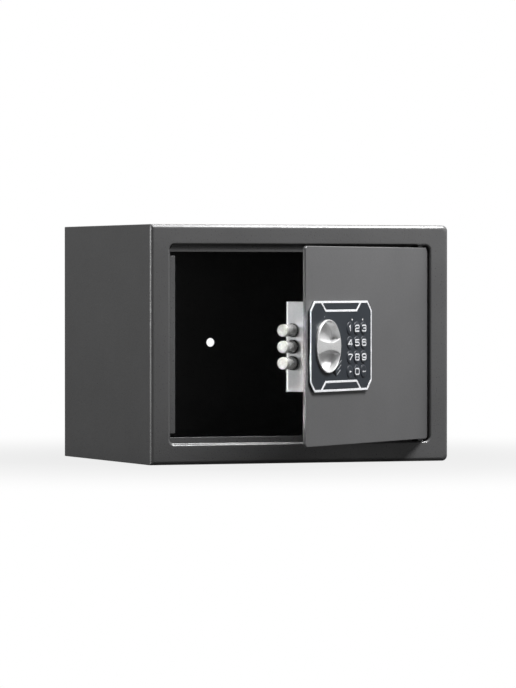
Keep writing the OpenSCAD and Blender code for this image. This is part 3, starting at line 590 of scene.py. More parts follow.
# The door's coat is a touch lighter in tone than the shell's: painted light, standing in for part of the
# brighter light that falls on the open door.
door_paint = powder_coat("door_paint", (0.100, 0.100, 0.102), (0.108, 0.108, 0.110),
                         skin=0.025, peel=0.03, roughness=0.34)
left, low, right, high = HOUSING
housing_hole = rectangle(left - HOUSING_GAP, low - HOUSING_GAP, right + HOUSING_GAP, high + HOUSING_GAP)
door_openings = [rounded(housing_hole, 1)[::-1], ring((PANEL_X, PLUG_Z), PLUG_HOLE_R, 32)]
door_openings += [ring(place, SCREW_HOLE_R, 16) for place in PANEL_SCREWS]
door_outline = rounded(rectangle(DOOR_LEFT, DOOR_LOW, DOOR_RIGHT, DOOR_HIGH), DOOR_R, 12)
door_leaf = plate([door_outline] + door_openings, 0, DOOR_T, edge=DOOR_EDGE, hole_edge=0.12)
add_door_piece("door_leaf", door_leaf, "door_paint", door_paint, replaces=["door_plate"])

# Hinge rod
# A 6 mm steel rod behind the door's edge, held by three weld beads. The beads and the rod were
# painted with the door.
soften_node("hinge_rod", "hinge_rod_painted", "door_paint", door_paint, 0.4)

# Lock panel
# A dark blue-grey moulding of hard plastic, clipped over the door's opening and held by four
# screws from behind. Its face has the knob's well, twelve key holes, two lamp holes and two
# tapered windows, and its housing reaches through the door.
PANEL_W, PANEL_H, PANEL_CUT, PANEL_OUT = 130, 84.6, 9, 2
PANEL_CORNER_R = 2.2
KNOB_X, KNOB_R = -92.2, 25
KEY_X, KEY_Z, KEY_R = -30.7, 110.8, 6.3
KEY_ACROSS, KEY_UP = 14.7, 13.6
LAMP_X, LAMP_Z, LAMP_R = (-39.8, -17.6), 139.2, 1.0
LINE_W = 2
WINDOW_OUT, WINDOW_IN, WINDOW_H = 41.7, 32.4, 8.1
SLOPE = (WINDOW_OUT - WINDOW_IN) / WINDOW_H
SLANT = math.hypot(1, SLOPE)     # length of a window's slanted side for each step up
HOUSING_WALL, HOUSING_BACK = 2, 8.5
WELL_FLOOR, WELL_GAP = 6.5, 0.3
KEY_GAP, LAMP_GAP = 0.08, 0.05
SPINDLE_HOLE_R, LEAD_HOLE_R = 4.05, 1.6
WINDOW_FLOOR, PLUG_SEAT_R = 0.6, 2.95
BATTERY_LEAD = (-14.65, PANEL_Z)          # where the leads leave the housing, in x and z
SOLENOID_LEAD = (-62.2, PANEL_Z - 20)
EDGE, FACE = PANEL_H / 2, -PANEL_OUT
key_places = [(KEY_X + column * KEY_ACROSS, KEY_Z + (1.5 - row) * KEY_UP)
              for row in range(4) for column in (-1, 0, 1)]


def bevelled(smaller):
    """Half the width and height of the panel and the bevel of its corners, all moved inwards by
    a distance. A bevel shrinks by 2 minus the root of 2 times that distance."""
    return PANEL_W / 2 - smaller, EDGE - smaller, PANEL_CUT - smaller * (2 - math.sqrt(2))


def panel_outline(smaller):
    """The panel's outline, a rectangle with bevelled corners, moved inwards by a distance."""
    a, b, cut = bevelled(smaller)
    corners = np.array([(-a + cut, -b), (a - cut, -b), (a, -b + cut), (a, b - cut),
                        (a - cut, b), (-a + cut, b), (-a, b - cut), (-a, -b + cut)])
    return rounded(corners + [PANEL_X, PANEL_Z], max(PANEL_CORNER_R - smaller * 0.5, 0.5), 7)


def window_outline(side, smaller=0.0):
    """A tapered window at the panel's lower (-1) or upper (1) edge, anticlockwise. The slanted
    sides run from the panel's edge, and the line along the edge covers the first part."""
    low, high = LINE_W + smaller, WINDOW_H - smaller
    a = WINDOW_OUT - SLOPE * low - SLANT * smaller
    b = WINDOW_OUT - SLOPE * high - SLANT * smaller
    corners = np.array([(-a, low - EDGE), (a, low - EDGE), (b, high - EDGE), (-b, high - EDGE)])
    if side > 0:
        corners = (corners * [1, -1])[::-1]
    return rounded(corners + [PANEL_X, PANEL_Z], 0.7, 5)


plastic = mottled("panel_plastic", specular=0.4,
                  tones=((30, 2), (0.021, 0.026, 0.033), (0.028, 0.033, 0.040)),
                  gloss=((0.55, 2), 0.32, 0.44), relief=((0.55, 2), 0.012))
well = ring((KNOB_X, PANEL_Z), KNOB_R + WELL_GAP, 96)
face_holes = [well, window_outline(-1)[::-1]]
face_holes += [ring(place, KEY_R + KEY_GAP, 40) for place in key_places]
face_holes += [ring((x, LAMP_Z), LAMP_R + LAMP_GAP, 20) for x in LAMP_X]
keypad_room = rectangle(KNOB_X + KNOB_R + HOUSING_WALL, low + HOUSING_WALL,
                        right - HOUSING_WALL, high - HOUSING_WALL)
floor_holes = [ring((KNOB_X, PANEL_Z), SPINDLE_HOLE_R, 24), ring(BATTERY_LEAD, LEAD_HOLE_R, 16),
               ring(SOLENOID_LEAD, LEAD_HOLE_R, 16)]
housing = rounded(rectangle(*HOUSING), 1)
window_floor = [window_outline(-1, -0.1), ring((PANEL_X, PLUG_Z), PLUG_SEAT_R, 32)]
moulding = joined(
    plate([panel_outline(0)] + face_holes, FACE, 0, edge=0.3, hole_edge=0.18),
    plate([housing, well, rounded(keypad_room, 1)[::-1]], -0.2, WELL_FLOOR, edge=0.1),
    plate([housing] + floor_holes, WELL_FLOOR - 0.1, HOUSING_BACK, edge=0.3),
    plate(window_floor, -WINDOW_FLOOR, 0, edge=0.05))
add_door_piece("panel_moulding", moulding, "panel_plastic", plastic, replaces=["lock_panel"])

# Pale line
# A raised line of white plastic, moulded onto the panel in a second shot. It runs along the
# panel's edge and around both windows.
LINE_RAISE, LINE_ROOT = 0.3, 0.5          # the line's reach before and behind the panel's face
line_paint = mottled("line_white", coat=0.15, tones=((7, 2), (0.76, 0.77, 0.79), (0.82, 0.83, 0.85)),
                     gloss=((2.5, 2), 0.24, 0.36), relief=((1.6, 1), 0.01))


def field_outline():
    """The dark field inside the line: the bevelled rectangle, with both windows' frames taken
    out of its lower and upper sides."""
    a, b, cut = bevelled(LINE_W)
    foot = WINDOW_OUT + (SLANT - SLOPE) * LINE_W
    head = WINDOW_IN + (SLANT - SLOPE) * LINE_W
    deep = EDGE - WINDOW_H - LINE_W
    lower = [(-a, -b + cut), (-a + cut, -b), (-foot, -b), (-head, -deep),
             (head, -deep), (foot, -b), (a - cut, -b), (a, -b + cut)]
    corners = np.array(lower + [(-x, -z) for x, z in lower])
    return rounded(corners + [PANEL_X, PANEL_Z], 1.1, 6)


line_outlines = [panel_outline(-0.05), field_outline()[::-1],
                 window_outline(-1)[::-1], window_outline(1)[::-1]]
line = plate(line_outlines, FACE - LINE_RAISE, FACE + LINE_ROOT, edge=0.14)
add_door_piece("pale_line", line, "pale_line", line_paint, replaces=["panel_line"])

# Signal lamps
# Two round light guides of milky plastic, pressed into the panel above the keys. Their domed ends
# stand just out of the panel's face, and they reach back to the circuit board.
BOARD_DEPTH = 4.2
LAMP_SHOULDER, LAMP_DOME = -1.905, 0.45


def turned(profile, steps=48):
    """A profile of distance along an axis and radius, turned about that axis. Its first and last
    points lie on the axis or are the same. The result has the axis along x, and the way along the
    profile as a mark."""
    along, radius = np.asarray(profile, float).T
    angle = np.linspace(0, 2 * math.pi, steps, endpoint=False)
    circle = np.stack([np.cos(angle), np.sin(angle)], 1)
    points = np.concatenate([np.broadcast_to(along[:, None, None], (len(along), steps, 1)),
                             radius[:, None, None] * circle], -1)
    run = np.cumsum(np.concatenate([[0], np.hypot(np.diff(along), np.diff(radius))]))
    return (points.reshape(-1, 3), [grid_faces(len(along), steps, False, True)]), np.repeat(run, steps)


def copies(shape, places):
    """One shape at several places, as one."""
    return joined(*[(shape[0] + place, shape[1]) for place in places])


def into_door(profile, places, steps=48):
    """A turned shape at each place in x and z, with its axis running into the door."""
    (points, faces), _ = turned(profile, steps)
    return copies((points[:, [1, 0, 2]], faces), [(x, 0, z) for x, z in places])


lamp_plastic = mottled("lamp_milky", coat=0.3, gloss=((0.8, 2), 0.2, 0.34),
                       tones=((1.5, 2), (0.74, 0.74, 0.72), (0.85, 0.85, 0.83)))
lamp_profile = np.vstack([[[BOARD_DEPTH, 0], [BOARD_DEPTH, LAMP_R]],
                          arc((0, 0), LAMP_R, 90, 180, 7) * [LAMP_DOME, 1] + [LAMP_SHOULDER, 0]])
add_door_piece("lamp_pair", into_door(lamp_profile, [(x, LAMP_Z) for x in LAMP_X], 24), "lamp_plastic",
               lamp_plastic, replaces=["signal_lamps"])

# Circuit board and contact domes
# A green glass-fibre board that lies in the housing behind the keys. It carries a sprung metal
# dome under each key, which closes a contact when the key is pressed.
board = mottled("board_green", coat=0.4, gloss=0.35, relief=((0.5, 2), 0.01),
                tones=((1.2, 3, 0.5, (1, 1, 0.3)), (0.016, 0.062, 0.027), (0.026, 0.092, 0.040)))
soften_node("circuit_board", "lock_board", "board", board, 0.15)
dome_metal = mottled("dome_steel", metallic=1.0, gloss=((0.8, 2), 0.2, 0.36),
                     tones=((0.8, 2), (0.72, 0.66, 0.50), (0.72, 0.66, 0.50)), relief=((0.4, 2), 0.004))
dome_profile = [(BOARD_DEPTH - rise, radius)
                for rise, radius in [(0, 0), (0, 2.5), (0.18, 2.3), (0.26, 1.4), (0.28, 0)]]
add_door_piece("key_domes", into_door(dome_profile, key_places, 24), "dome_metal", dome_metal,
               replaces=["contact_domes"])

# Panel screws
# Four zinc-plated steel screws with pan heads and a shallow round recess. They run from behind the
# door plate into the panel's moulding and pull it against the plate.
SCREW_TIP, SCREW_R, HEAD_R, HEAD_T = -1.4, 1.4, 2.7, 1.8
plated = mottled("plated_screws", metallic=1.0, gloss=((1.5, 3), 0.22, 0.42),
                 tones=((3, 2), (0.66, 0.66, 0.63), (0.78, 0.78, 0.77)), relief=((0.5, 2), 0.006))
crown = DOOR_T + HEAD_T
screw_profile = [
    (SCREW_TIP, 0), (SCREW_TIP, SCREW_R * 0.6), (SCREW_TIP + 0.5, SCREW_R), (DOOR_T, SCREW_R),
    (DOOR_T, HEAD_R - 0.1), (DOOR_T + 0.1, HEAD_R), (DOOR_T + HEAD_T * 0.45, HEAD_R),
    (DOOR_T + HEAD_T * 0.8, HEAD_R * 0.86), (crown, HEAD_R * 0.6), (crown, HEAD_R * 0.36),
    (crown - HEAD_T * 0.5, HEAD_R * 0.3), (crown - HEAD_T * 0.5, 0)]
add_door_piece("panel_screw_set", into_door(screw_profile, PANEL_SCREWS, 32), "plain_steel", plated,
               replaces=["panel_screws"])

# Keys
# Twelve round keys of the panel's plastic, each a cap with a collar that keeps it in its hole and
# a stem that presses its dome. The signs are printed white on the flat tops.
KEY_OUT, KEY_SLOPE = 0.8, 2
STEM_END, STEM_R = 3.1, 2
COLLAR, COLLAR_W = (0.1, 0.7), 0.35       # the collar's depths and how far it stands out
SIGN_SIZE, SIGN_STROKE = (9.4, 6.6), 1.15
SMALL_SIZE, SMALL_STROKE = (6.4, 2.8), 0.7
PRINT_LIFT, PRINT_SINK = 0.09, 0.05       # a sign's reach above and into the key's top
top = FACE - KEY_OUT
key_profile = np.vstack([
    [[STEM_END, 0], [STEM_END, STEM_R], [COLLAR[1], STEM_R], [COLLAR[1], KEY_R + COLLAR_W],
     [COLLAR[0], KEY_R + COLLAR_W], [COLLAR[0], KEY_R]],
    arc((0, 0), 1, 90, 180, 8) * [KEY_OUT, KEY_SLOPE] + [top + KEY_OUT, KEY_R - KEY_SLOPE],
    [[top - 0.02, KEY_R * 0.5], [top - 0.03, 0]]])
# The middle lines of the signs' strokes, on a field 6 wide and 4 high. True closes a stroke.
FIELD = np.array([6, 4])
SIX = [(6, 3.3), (5.1, 4), (0.9, 4), (0, 3.2), (0, 0.8), (0.9, 0), (5.1, 0), (6, 0.8), (6, 1.5),
       (5.1, 2.3), (0, 2.3)]
SIGNS = {
    "1": [([(1.3, 3.0), (2.9, 4), (2.9, 0)], False)],
    "2": [([(0, 3.1), (0.9, 4), (5.1, 4), (6, 3.2), (6, 2.8), (5.1, 2), (0.9, 1.9), (0, 1.1),
            (0, 0), (6, 0)], False)],
    "3": [([(0, 3.3), (0.9, 4), (5.1, 4), (6, 3.3), (6, 2.7), (5.2, 2.05), (2, 2.05)], False),
          ([(5.2, 2.05), (6, 1.3), (6, 0.8), (5.1, 0), (0.9, 0), (0, 0.7)], False)],
    "4": [([(4.3, 0), (4.3, 4), (3.6, 4), (0, 1.1), (6, 1.1)], False)],
    "5": [([(5.8, 4), (0.2, 4), (0.2, 2.3), (5.1, 2.3), (6, 1.5), (6, 0.8), (5.1, 0), (0.9, 0),
            (0, 0.7)], False)],
    "6": [(SIX, False)],
    "7": [([(0, 3.2), (0, 4), (5.2, 4), (6, 3.3), (2.2, 0)], False)],
    "8": [([(0.9, 2.05), (0, 1.3), (0, 0.8), (0.9, 0), (5.1, 0), (6, 0.8), (6, 1.3),
            (5.1, 2.05)], True),
          ([(0.9, 2.05), (5.1, 2.05), (5.9, 2.75), (5.9, 3.3), (5.1, 4), (0.9, 4), (0.1, 3.3),
            (0.1, 2.75)], True)],
    "9": [([(6 - x, 4 - z) for x, z in SIX], False)],
    "clear": [([(1.7, 0.8), (4.4, 2), (1.7, 3.2)], True)],
    "0": [([(0.9, 0), (5.1, 0), (6, 0.8), (6, 3.2), (5.1, 4), (0.9, 4), (0, 3.2), (0, 0.8)], True)],
    "enter": [([(6, 3.2), (6, 1.6), (0.6, 1.6)], False), ([(2.3, 2.7), (0.2, 1.6), (2.3, 0.5)], False)]}


def band(path, width, closed, low, high):
    """A thin band along a path: half the width to either side of each point, from one depth to
    another. An open band is closed at its two ends."""
    path = np.asarray(path, float)
    left = leftward(path, closed) * width / 2
    count = len(path)
    corners = [(path + left, low), (path + left, high), (path - left, high), (path - left, low)]
    points = np.stack([np.stack([side[:, 0], np.full(count, depth), side[:, 1]], 1)
                       for side, depth in corners], 1)
    faces = [grid_faces(count, 4, closed, True)]
    if not closed:
        faces += [np.array([[0, 1, 2, 3]]), np.array([[0, 1, 2, 3]]) + 4 * (count - 1)]
    return points.reshape(-1, 3), faces


def sign_shape(strokes, place, stroke, size):
    """A sign as thin bands of print on a key's top, centred on the key."""
    scale = np.array(size) - stroke
    return joined(*[band((np.array(path) / FIELD - 0.5) * scale + place, stroke, closed,
                         top - PRINT_LIFT, top + PRINT_SINK) for path, closed in strokes])


key_plastic = mottled("key_plastic", specular=0.45,
                      tones=((9, 2), (0.023, 0.027, 0.034), (0.031, 0.036, 0.044)),
                      gloss=((0.5, 2), 0.34, 0.46), relief=((0.5, 2), 0.01))
sign_print = mottled("sign_print", gloss=0.45, relief=((0.4, 2), 0.01),
                     tones=((1.3, 3), (0.66, 0.67, 0.69), (0.80, 0.81, 0.83)))
for sign, place in zip(SIGNS, key_places):
    key = "key_" + sign
    small = sign in ("clear", "enter")
    size, stroke = (SMALL_SIZE, SMALL_STROKE) if small else (SIGN_SIZE, SIGN_STROKE)
    add_door_piece("cap_" + sign, into_door(key_profile, [place]), "key_plastic", key_plastic, body=key,
                   replaces=[key])
    add_door_piece("print_" + sign, sign_shape(SIGNS[sign], place, stroke, size), "pale_line",
                   sign_print, body=key)

# Printed marks and a painted shadow beside the knob
# A printed dot above the knob, and at its lower right three short printed ticks that show the
# turn, all thin prints on the panel's face. A dark wedge beside them is a painted shadow at the knob's
# rim.
MARK_LIFT, MARK_SINK = 0.06, 0.05         # a print's or painted shadow's reach before and behind the panel's face
DOT, DOT_R = (-98.5, 142.4), 0.5
TICKS = [(-70.0, 97.0), (-71.2, 92.6), (-72.0, 88.2)]
TICK_ACROSS, TICK_UP, TICK_W = 7.0, 4.4, 0.8
WEDGE_SHADOW = [(-83.0, 90.6), (-73.4, 85.8), (-76.2, 93.6)]


def mark_shape(outline):
    """A thin layer on the panel's face with the given outline, used for the printed dot and the wedge's
    painted shadow.
    """
    return plate([outline], FACE - MARK_LIFT, FACE + MARK_SINK, edge=0.02)


mark_print = mottled("mark_print", gloss=0.5, tones=((1.2, 2), (0.36, 0.37, 0.39), (0.5, 0.51, 0.53)))
ticks = [band([(x, z), (x + TICK_ACROSS, z + TICK_UP)], TICK_W, False,
              FACE - MARK_LIFT, FACE + MARK_SINK) for x, z in TICKS]
add_door_piece("printed_ticks", joined(mark_shape(ring(DOT, DOT_R, 16)[::-1]), *ticks), "pale_line",
               mark_print)
# Near-black, low-gloss paint for the wedge: a painted shadow, not a print.
wedge_shadow_paint = mottled("wedge_shadow_paint", gloss=0.6, specular=0.1,
                     tones=((1.2, 2), (0.003, 0.003, 0.004), (0.006, 0.006, 0.007)))
add_door_piece("painted_shadow_wedge", mark_shape(rounded(WEDGE_SHADOW, 0.4, 4)), "key_plastic", wedge_shadow_paint)

# Small cover and emergency lock
# A tapered plastic cover fills the lower window and lifts off. Behind it sits a square zinc lock
# with a round plug, whose tail lifts the catch when the batteries are flat.
COVER_T, COVER_OUT, COVER_GAP = 1.4, 0.2, 0.3
window_cover = plate([window_outline(-1, COVER_GAP)], FACE - COVER_OUT, FACE + COVER_T, edge=0.25)
add_door_piece("window_cover", window_cover, "panel_plastic", plastic, body="key_cover",
               replaces=["key_cover"])
cast_zinc = mottled("cast_zinc", metallic=1.0, gloss=((2.2, 3), 0.34, 0.52),
                    tones=((5, 2), (0.56, 0.56, 0.55), (0.66, 0.66, 0.65)), relief=((0.7, 3), 0.02))
soften_node("emergency_lock_body", "lock_case", "turned_steel", cast_zinc, 0.3)
soften_node("emergency_plug", "lock_plug", "turned_steel", cast_zinc, 0.15)

# Knob, spindle and crank
# The knob is a zinc casting in satin chrome. Two deep scoops leave a waisted grip across its
# middle and a thin rim around it. A steel spindle joins it to the crank that drives the bolts.
KNOB_BACK = 6
RIM_OUT = PANEL_OUT + 2
GRIP_OUT = 1.3
GRIP_HALF = 3.5
GRIP_FLARE = 67
RIM_W = 1.3
SCOOP_DEEP, SCOOP_R = 7.5, 5
RIM_ROUND = 0.6
LIP_ROUND = 0.4
GRIP_ROUND = 0.6
FLOOR_ROUND = 0.9
GRIP_POINTS = (np.linspace(-21, 21, 15), [-1.8, 0, 1.8])     # columns and rows that carry its curve
ARCH_R = (KNOB_R ** 2 + GRIP_OUT ** 2) / (2 * GRIP_OUT)


def knob_face(x, z):
    """Depth of the knob's arched face: a sphere's cap over the rim, seen from the knob's axis."""
    return -RIM_OUT - GRIP_OUT + ARCH_R - np.sqrt(ARCH_R ** 2 - x ** 2 - z ** 2)


def scoop_floor(z):
    """Depth of a scoop's floor: flat, with a hollow curve up to the grip."""
    rise = np.clip(GRIP_HALF + SCOOP_R - z, 0, SCOOP_R)
    return SCOOP_DEEP - RIM_OUT - SCOOP_R + np.sqrt(SCOOP_R ** 2 - rise ** 2)


def grip_side(x):
    """Height of the grip's curved side above its middle line."""
    return GRIP_HALF + GRIP_FLARE - np.sqrt(GRIP_FLARE ** 2 - x ** 2)


def scoop_shape(columns=72, floor_rows=22):
    """The upper scoop as columns across the knob. Each column runs from the grip's edge over a
    round lip, down the wall and the hollow curve, along the floor, and up the rim's wall over its
    lip. Returns the surface and the outline that it cuts out of the knob's face."""
    ends = KNOB_R - RIM_W
    across = np.linspace(0, ends, 400)
    widest = across[np.sqrt(ends ** 2 - across ** 2) > grip_side(across) + 0.1][-1]
    x = widest * np.sin(np.linspace(-math.pi / 2, math.pi / 2, columns))
    near, far = grip_side(x), np.sqrt(ends ** 2 - x ** 2)
    foot = np.minimum(FLOOR_ROUND, 0.4 * (far - near))
    quarter = np.linspace(0, math.pi / 2, 6)[:, None]
    shift, sink = 1 - np.sin(quarter), 1 - np.cos(quarter)
    part = 1 - np.cos(np.linspace(0, math.pi / 2, floor_rows))[:-1, None]
    floor_z = near + (far - foot - near) * part
    rows = [(near - GRIP_ROUND * shift, knob_face(x, near - GRIP_ROUND) + GRIP_ROUND * sink),
            (floor_z, scoop_floor(floor_z)),
            (far - foot * shift, scoop_floor(far - foot) - foot * sink),
            (far + LIP_ROUND * sink, knob_face(x, far + LIP_ROUND) + LIP_ROUND * shift)]
    z = np.vstack([row[0] + 0 * x for row in rows])
    depth = np.vstack([row[1] + 0 * x for row in rows])
    points = np.stack([np.broadcast_to(x, z.shape), depth, z], -1)
    first = np.arange(len(z))[None, :] * columns
    outline = np.vstack([np.stack([x, z[0]], 1), np.stack([x, z[-1]], 1)[::-1]])
    faces = [grid_faces(*z.shape), first, first + columns - 1]
    return (points.reshape(-1, 3), faces), outline


def knob_shape():
    """The arched face with the two scoops' outlines cut out, the scoops, and the turned side."""
    (scoop, scoop_faces), outline = scoop_shape()
    inner_r = KNOB_R - RIM_ROUND
    outer = arc((0, 0), inner_r, 0, 360, 129)[:-1]
    lower = outline * [1, -1]
    across, up = np.meshgrid(*GRIP_POINTS)
    inner = np.stack([across.ravel(), up.ravel()], 1)
    flat = np.vstack([outer, outline[::-1], lower, inner])
    face = (np.stack([flat[:, 0], knob_face(flat[:, 0], flat[:, 1]), flat[:, 1]], 1),
            [filled([outer, outline[::-1], lower], inner)])
    rim = knob_face(inner_r, 0)
    profile = np.vstack([arc((rim + RIM_ROUND, inner_r), RIM_ROUND, 180, 90, 7), [[1, KNOB_R]],
                         arc((KNOB_BACK - RIM_ROUND, KNOB_R - RIM_ROUND), RIM_ROUND, 90, 0, 5),
                         [[KNOB_BACK, 0]]])
    side = into_door(profile, [(0, 0)], 128)
    mirrored = scoop * [1, 1, -1]
    points, faces = joined(face, (scoop, scoop_faces), (mirrored, scoop_faces), side)
    return points + [KNOB_X, 0, PANEL_Z], faces


satin = mottled("satin_chrome", metallic=0.5, gloss=((0.35, 2), 0.26, 0.36),
                tones=((12, 2), (0.74, 0.74, 0.74), (0.81, 0.81, 0.81)), relief=((0.35, 2), 0.006))
add_door_piece("turn_knob", knob_shape(), "satin_metal", satin, body="knob", replaces=["knob"])
drawn_steel = mottled("drawn_steel", metallic=1.0, gloss=((1.2, 3, 0.5, (1, 1, 0.1)), 0.26, 0.46),
                      tones=((6, 3), (0.48, 0.48, 0.47), (0.60, 0.60, 0.59)), relief=((0.6, 3), 0.012))
soften_node("knob_spindle", "spindle", "turned_steel", drawn_steel, 0.3)
soften_node("crank", "crank_arm", "plain_steel", drawn_steel, 0.3)

# Bolt bracket
# A channel of galvanised sheet behind the door's free edge, screwed to the plate by four lugs. Its
# near leg has three drawn collars that guide the bolts.
bracket_zinc = zinc_sheet("bracket_zinc", (0.42, 0.43, 0.43), spangle=1.1, roughness=0.31, metallic=0.8)
soften_node("bolt_bracket", "bolt_channel", "zinc_sheet", bracket_zinc, 0.28)
soften_node("bracket_screws", "bracket_screw_set", "plain_steel", plated, 0.5)
soften_node("guide_pins", "guide_pin_pair", "plain_steel", plated, 0.25)
soften_node("slide_plate", "bolt_slide_plate", "zinc_sheet", zinc, 0.25)

# Bolts
# Three turned and polished steel bolts, 11.5 mm thick, with chamfered ends and fine tool marks.
# Each is riveted into the slide plate's flange.
BOLT_TIP, BOLT_DEPTH, BOLT_R = -147.2, 17.3, 5.75
BOLT_LONG, BOLT_PITCH = 24.7, 15.2
RIVET_R, FLANGE_T = 3.5, 2
BOLT_LEVELS = [PANEL_Z + step * BOLT_PITCH for step in (-1, 0, 1)]
END_ROUGH = (6, 7.5)             # way along the profile where the sawn end turns into the side
tail = BOLT_LONG + FLANGE_T
bolt_profile = [
    (0.12, 0), (0.12, 0.7), (0, 1.0), (0, BOLT_R - 0.75), (0.1, BOLT_R - 0.6), (0.55, BOLT_R - 0.12),
    (0.75, BOLT_R), (BOLT_LONG, BOLT_R), (BOLT_LONG, RIVET_R), (tail, RIVET_R), (tail, RIVET_R + 0.4),
    (tail + 0.2, RIVET_R + 0.6), (tail + 0.8, RIVET_R + 0.4), (tail + 1, RIVET_R - 0.1), (tail + 1, 0)]
bolt, run = turned(bolt_profile, 64)
bolt_set = copies(bolt, [[BOLT_TIP, BOLT_DEPTH, level] for level in BOLT_LEVELS])
turned_steel, tree, surface = add_finish("turned_steel", (0.70, 0.70, 0.69), 0.22, metallic=0.78)
way = add_node(tree, "Attribute", attribute_name="way").outputs["Fac"]
along = add_node(tree, "CombineXYZ", {"X": way}).outputs[0]
streak = add_node(tree, "TexNoise", {"Vector": along, "Scale": 3.5, "Detail": 3}).outputs["Fac"]
end = add_node(tree, "MapRange", {"Value": way, "From Min": END_ROUGH[0],
                                  "From Max": END_ROUGH[1]}).outputs[0]
gloss = add_node(tree, "Mix", {"Factor": end, "A": 0.56})
vary(tree, streak, gloss.inputs["B"], 0.16, 0.30)
tree.links.new(gloss.outputs["Result"], surface.inputs["Roughness"])
tone = add_node(tree, "Mix", {"Factor": end, "B": (0.88, 0.88, 0.87, 1)}, data_type="RGBA")
vary(tree, grain(tree, 2.2, 3), tone.inputs["A"], (0.30, 0.30, 0.29), (0.44, 0.44, 0.43))
tree.links.new(tone.outputs["Result"], surface.inputs["Base Color"])
emboss(tree, surface, (streak, 0.01), (grain(tree, 0.8, 2), 0.004))
add_door_piece("bolt_set", bolt_set, "turned_steel", turned_steel, body="bolts",
               replaces=["locking_bolts"], marks={"way": np.tile(run, 3)})

# Painted shadow rings at the bolts
# A thin dark ring around each bolt, on the faces of the bracket's collars: painted shadow that
# stands for the shaded gap where the bolts pass through the collars.
COLLAR_FACE = -127.2
SHADOW_RING_IN, SHADOW_RING_OUT, SHADOW_RING_THICK = BOLT_R + 0.05, 6.6, 0.15
shadow_ring_profile = [(0, SHADOW_RING_IN + 0.02), (0.05, SHADOW_RING_IN), (SHADOW_RING_THICK, SHADOW_RING_IN + 0.05),
                  (SHADOW_RING_THICK, SHADOW_RING_OUT - 0.1), (0.03, SHADOW_RING_OUT + 0.02), (0, SHADOW_RING_OUT)]
(points, faces), _ = turned(shadow_ring_profile + shadow_ring_profile[:1], 64)
shadow_rings = copies((points * [-1, 1, 1], faces),
                      [[COLLAR_FACE, BOLT_DEPTH, level] for level in BOLT_LEVELS])
# Near-black paint for the rings: painted shadow, not grease.
painted_shadow_film = mottled("painted_shadow_film", specular=0.2, gloss=0.45, relief=((0.8, 2), 0.03),
                      tones=((1.5, 3), (0.008, 0.008, 0.007), (0.03, 0.03, 0.028)))
add_door_piece("bolt_painted_shadow", shadow_rings, "cover_plastic", painted_shadow_film)

# Solenoid
# A wound coil in a steel yoke that lets a small plunger drop out of the slide plate's notch when
# the code is right.
coil_paper = mottled("coil_wrap", gloss=0.55, relief=((0.7, 2, 0.5, (0.2, 0.2, 3)), 0.05),
                     tones=((0.9, 3, 0.5, (1, 1, 6)), (0.07, 0.06, 0.035), (0.14, 0.12, 0.07)))
soften_node("solenoid_body", "coil_case", "plain_steel", coil_paper, 0.5)
soften_node("solenoid_plunger", "catch_plunger", "turned_steel", drawn_steel, 0.2)

# Inner cover
# A black moulded cover over the back of the lock, grained on the outside, on four plated posts
# with four screws.
cover_plastic = mottled("cover_black", specular=0.45, gloss=((0.8, 3, 0.6), 0.42, 0.6),
                        tones=((25, 2), (0.019, 0.019, 0.020), (0.026, 0.026, 0.027)),
                        relief=((0.8, 3, 0.6), 0.04))
soften_node("inner_cover", "lock_cover", "cover_plastic", cover_plastic, 0.6)
soften_node("cover_standoffs", "cover_posts", "plain_steel", plated, 0.2)
soften_node("cover_screws", "cover_screw_set", "plain_steel", plated, 0.25)

# Batteries
# Four cells in a tray with sprung contacts, under a hatch in the inner cover. The cells have a
# plain printed sleeve with a darker foot and steel caps.
soften_node("battery_tray", "cell_tray", "cover_plastic", cover_plastic, 0.3)
soften_node("battery_contacts", "cell_contacts", "plain_steel", plated, 0.12)
soften_node("battery_hatch", "cell_hatch", "cover_plastic", cover_plastic, 0.35)
CELL_R, CELL_LONG, CELL_PITCH = 7.1, 49.5, 15
TRAY_X = 30.2
SLEEVE_WAY = 80                  # way along the cell's profile that the bands' places are shares of
CELL_ROUND, CELL_LIFT = 0.7, 1.6
CELL_DEPTH = DOOR_T + CELL_LIFT + CELL_R
cell_profile = np.vstack([
    [[0, 0], [0, 3.2], [0.5, 3.6], [0.5, CELL_R - 0.9]],
    arc((CELL_ROUND, CELL_R - CELL_ROUND), CELL_ROUND, 180, 90, 5),
    arc((CELL_LONG - CELL_ROUND, CELL_R - CELL_ROUND), CELL_ROUND, 90, 0, 5),
    [[CELL_LONG, 2.7], [CELL_LONG + 0.7, 2.7], [CELL_LONG + 0.9, 2.5], [CELL_LONG + 0.9, 0]]])
(points, faces), run = turned(cell_profile)
cells = copies((points[:, [1, 2, 0]], faces),
               [[TRAY_X + step * CELL_PITCH, CELL_DEPTH, PANEL_Z - CELL_LONG / 2]
                for step in (-1.5, -0.5, 0.5, 1.5)])
sleeve, tree, surface = add_finish("cell_sleeve", (0.10, 0.16, 0.05), 0.35, coat=0.3)
way = add_node(tree, "Attribute", attribute_name="way").outputs["Fac"]
zone = add_node(tree, "ValToRGB", {"Fac": reckon(tree, "DIVIDE", way, SLEEVE_WAY)})
zone.color_ramp.interpolation = "CONSTANT"
bands = zone.color_ramp.elements
steel, black, green = (0.62, 0.62, 0.60), (0.03, 0.03, 0.03), (0.10, 0.17, 0.05)
for number, (start, colour) in enumerate([(0.0, steel), (0.085, black), (0.28, green), (0.70, steel)]):
    stop = bands[number] if number < len(bands) else bands.new(start)
    stop.position, stop.color = start, (*colour, 1)
tree.links.new(zone.outputs["Color"], surface.inputs["Base Color"])
vary(tree, grain(tree, 2, 2), surface.inputs["Roughness"], 0.28, 0.42)
add_door_piece("cell_row", cells, "cell_jacket", sleeve, replaces=["batteries"],
               marks={"way": np.tile(run, 4)})

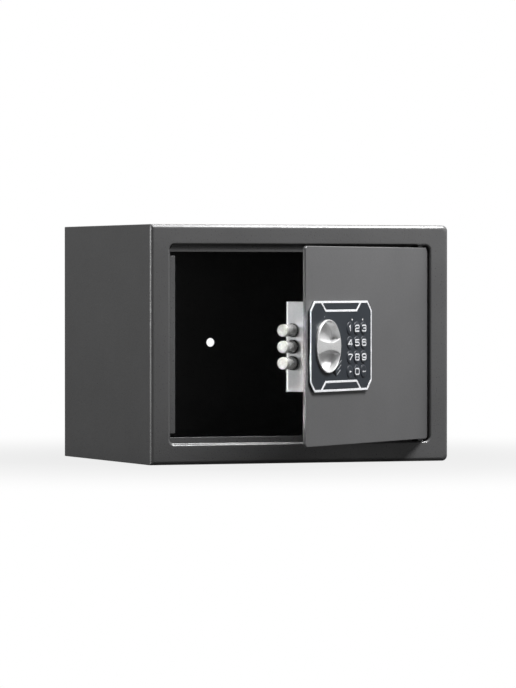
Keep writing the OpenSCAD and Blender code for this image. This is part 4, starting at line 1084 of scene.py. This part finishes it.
# Leads
# Two short leads with soft red sleeves. They are held along their way from the board to the
# batteries and to the solenoid, with rounded bends.
sleeve_red = mottled("lead_sleeve", gloss=0.42, relief=((0.8, 2), 0.015),
                     tones=((3, 2), (0.26, 0.018, 0.015), (0.35, 0.028, 0.022)))
LEAD_R, LEAD_BEND = 1.1, 2.3
LEAD_START, LEAD_DEPTH = 6.9, 10.5        # depths where a lead begins and where it runs
BATTERY_END_X = -2.9
SOLENOID_END_X, SOLENOID_END_Z = -84.3, 87.2


def lead_shape(path, steps=14):
    """A round tube along a path of square turns. Each turn is a quarter circle, and each ring of
    the tube is a circle across the path's direction there, closed at both ends."""
    path = np.asarray(path, float)
    stretch = [path[:1]]
    for before, corner, after in zip(path[:-2], path[1:-1], path[2:]):
        back, on = unit(before - corner), unit(after - corner)
        angle = np.linspace(0, math.pi / 2, 7)[:, None]
        stretch.append(corner + LEAD_BEND * (back * (1 - np.sin(angle)) + on * (1 - np.cos(angle))))
    line = np.vstack(stretch + [path[-1:]])
    along = unit(np.gradient(line, axis=0))
    side = unit(np.cross(along, [0.31, 0.57, 0.76]))
    other = np.cross(along, side)
    turn = np.linspace(0, 2 * math.pi, steps, endpoint=False)[:, None]
    circle = (np.cos(turn)[None] * side[:, None] + np.sin(turn)[None] * other[:, None]) * LEAD_R
    tube = line[:, None] + circle
    caps = [np.arange(steps)[None, :], np.arange(steps)[None, :] + (len(line) - 1) * steps]
    return tube.reshape(-1, 3), [grid_faces(len(line), steps, False, True)] + caps


x, z = BATTERY_LEAD
battery_way = [(x, LEAD_START, z), (x, LEAD_DEPTH, z), (BATTERY_END_X, LEAD_DEPTH, z)]
x, z = SOLENOID_LEAD
solenoid_way = [(x, LEAD_START, z), (x, LEAD_DEPTH, z), (x, LEAD_DEPTH, SOLENOID_END_Z),
                (SOLENOID_END_X, LEAD_DEPTH, SOLENOID_END_Z)]
add_door_piece("battery_lead_sleeve", lead_shape(battery_way), "lead_sleeve", sleeve_red,
               replaces=["battery_lead"])
add_door_piece("solenoid_lead_sleeve", lead_shape(solenoid_way), "lead_sleeve", sleeve_red,
               replaces=["solenoid_lead"])
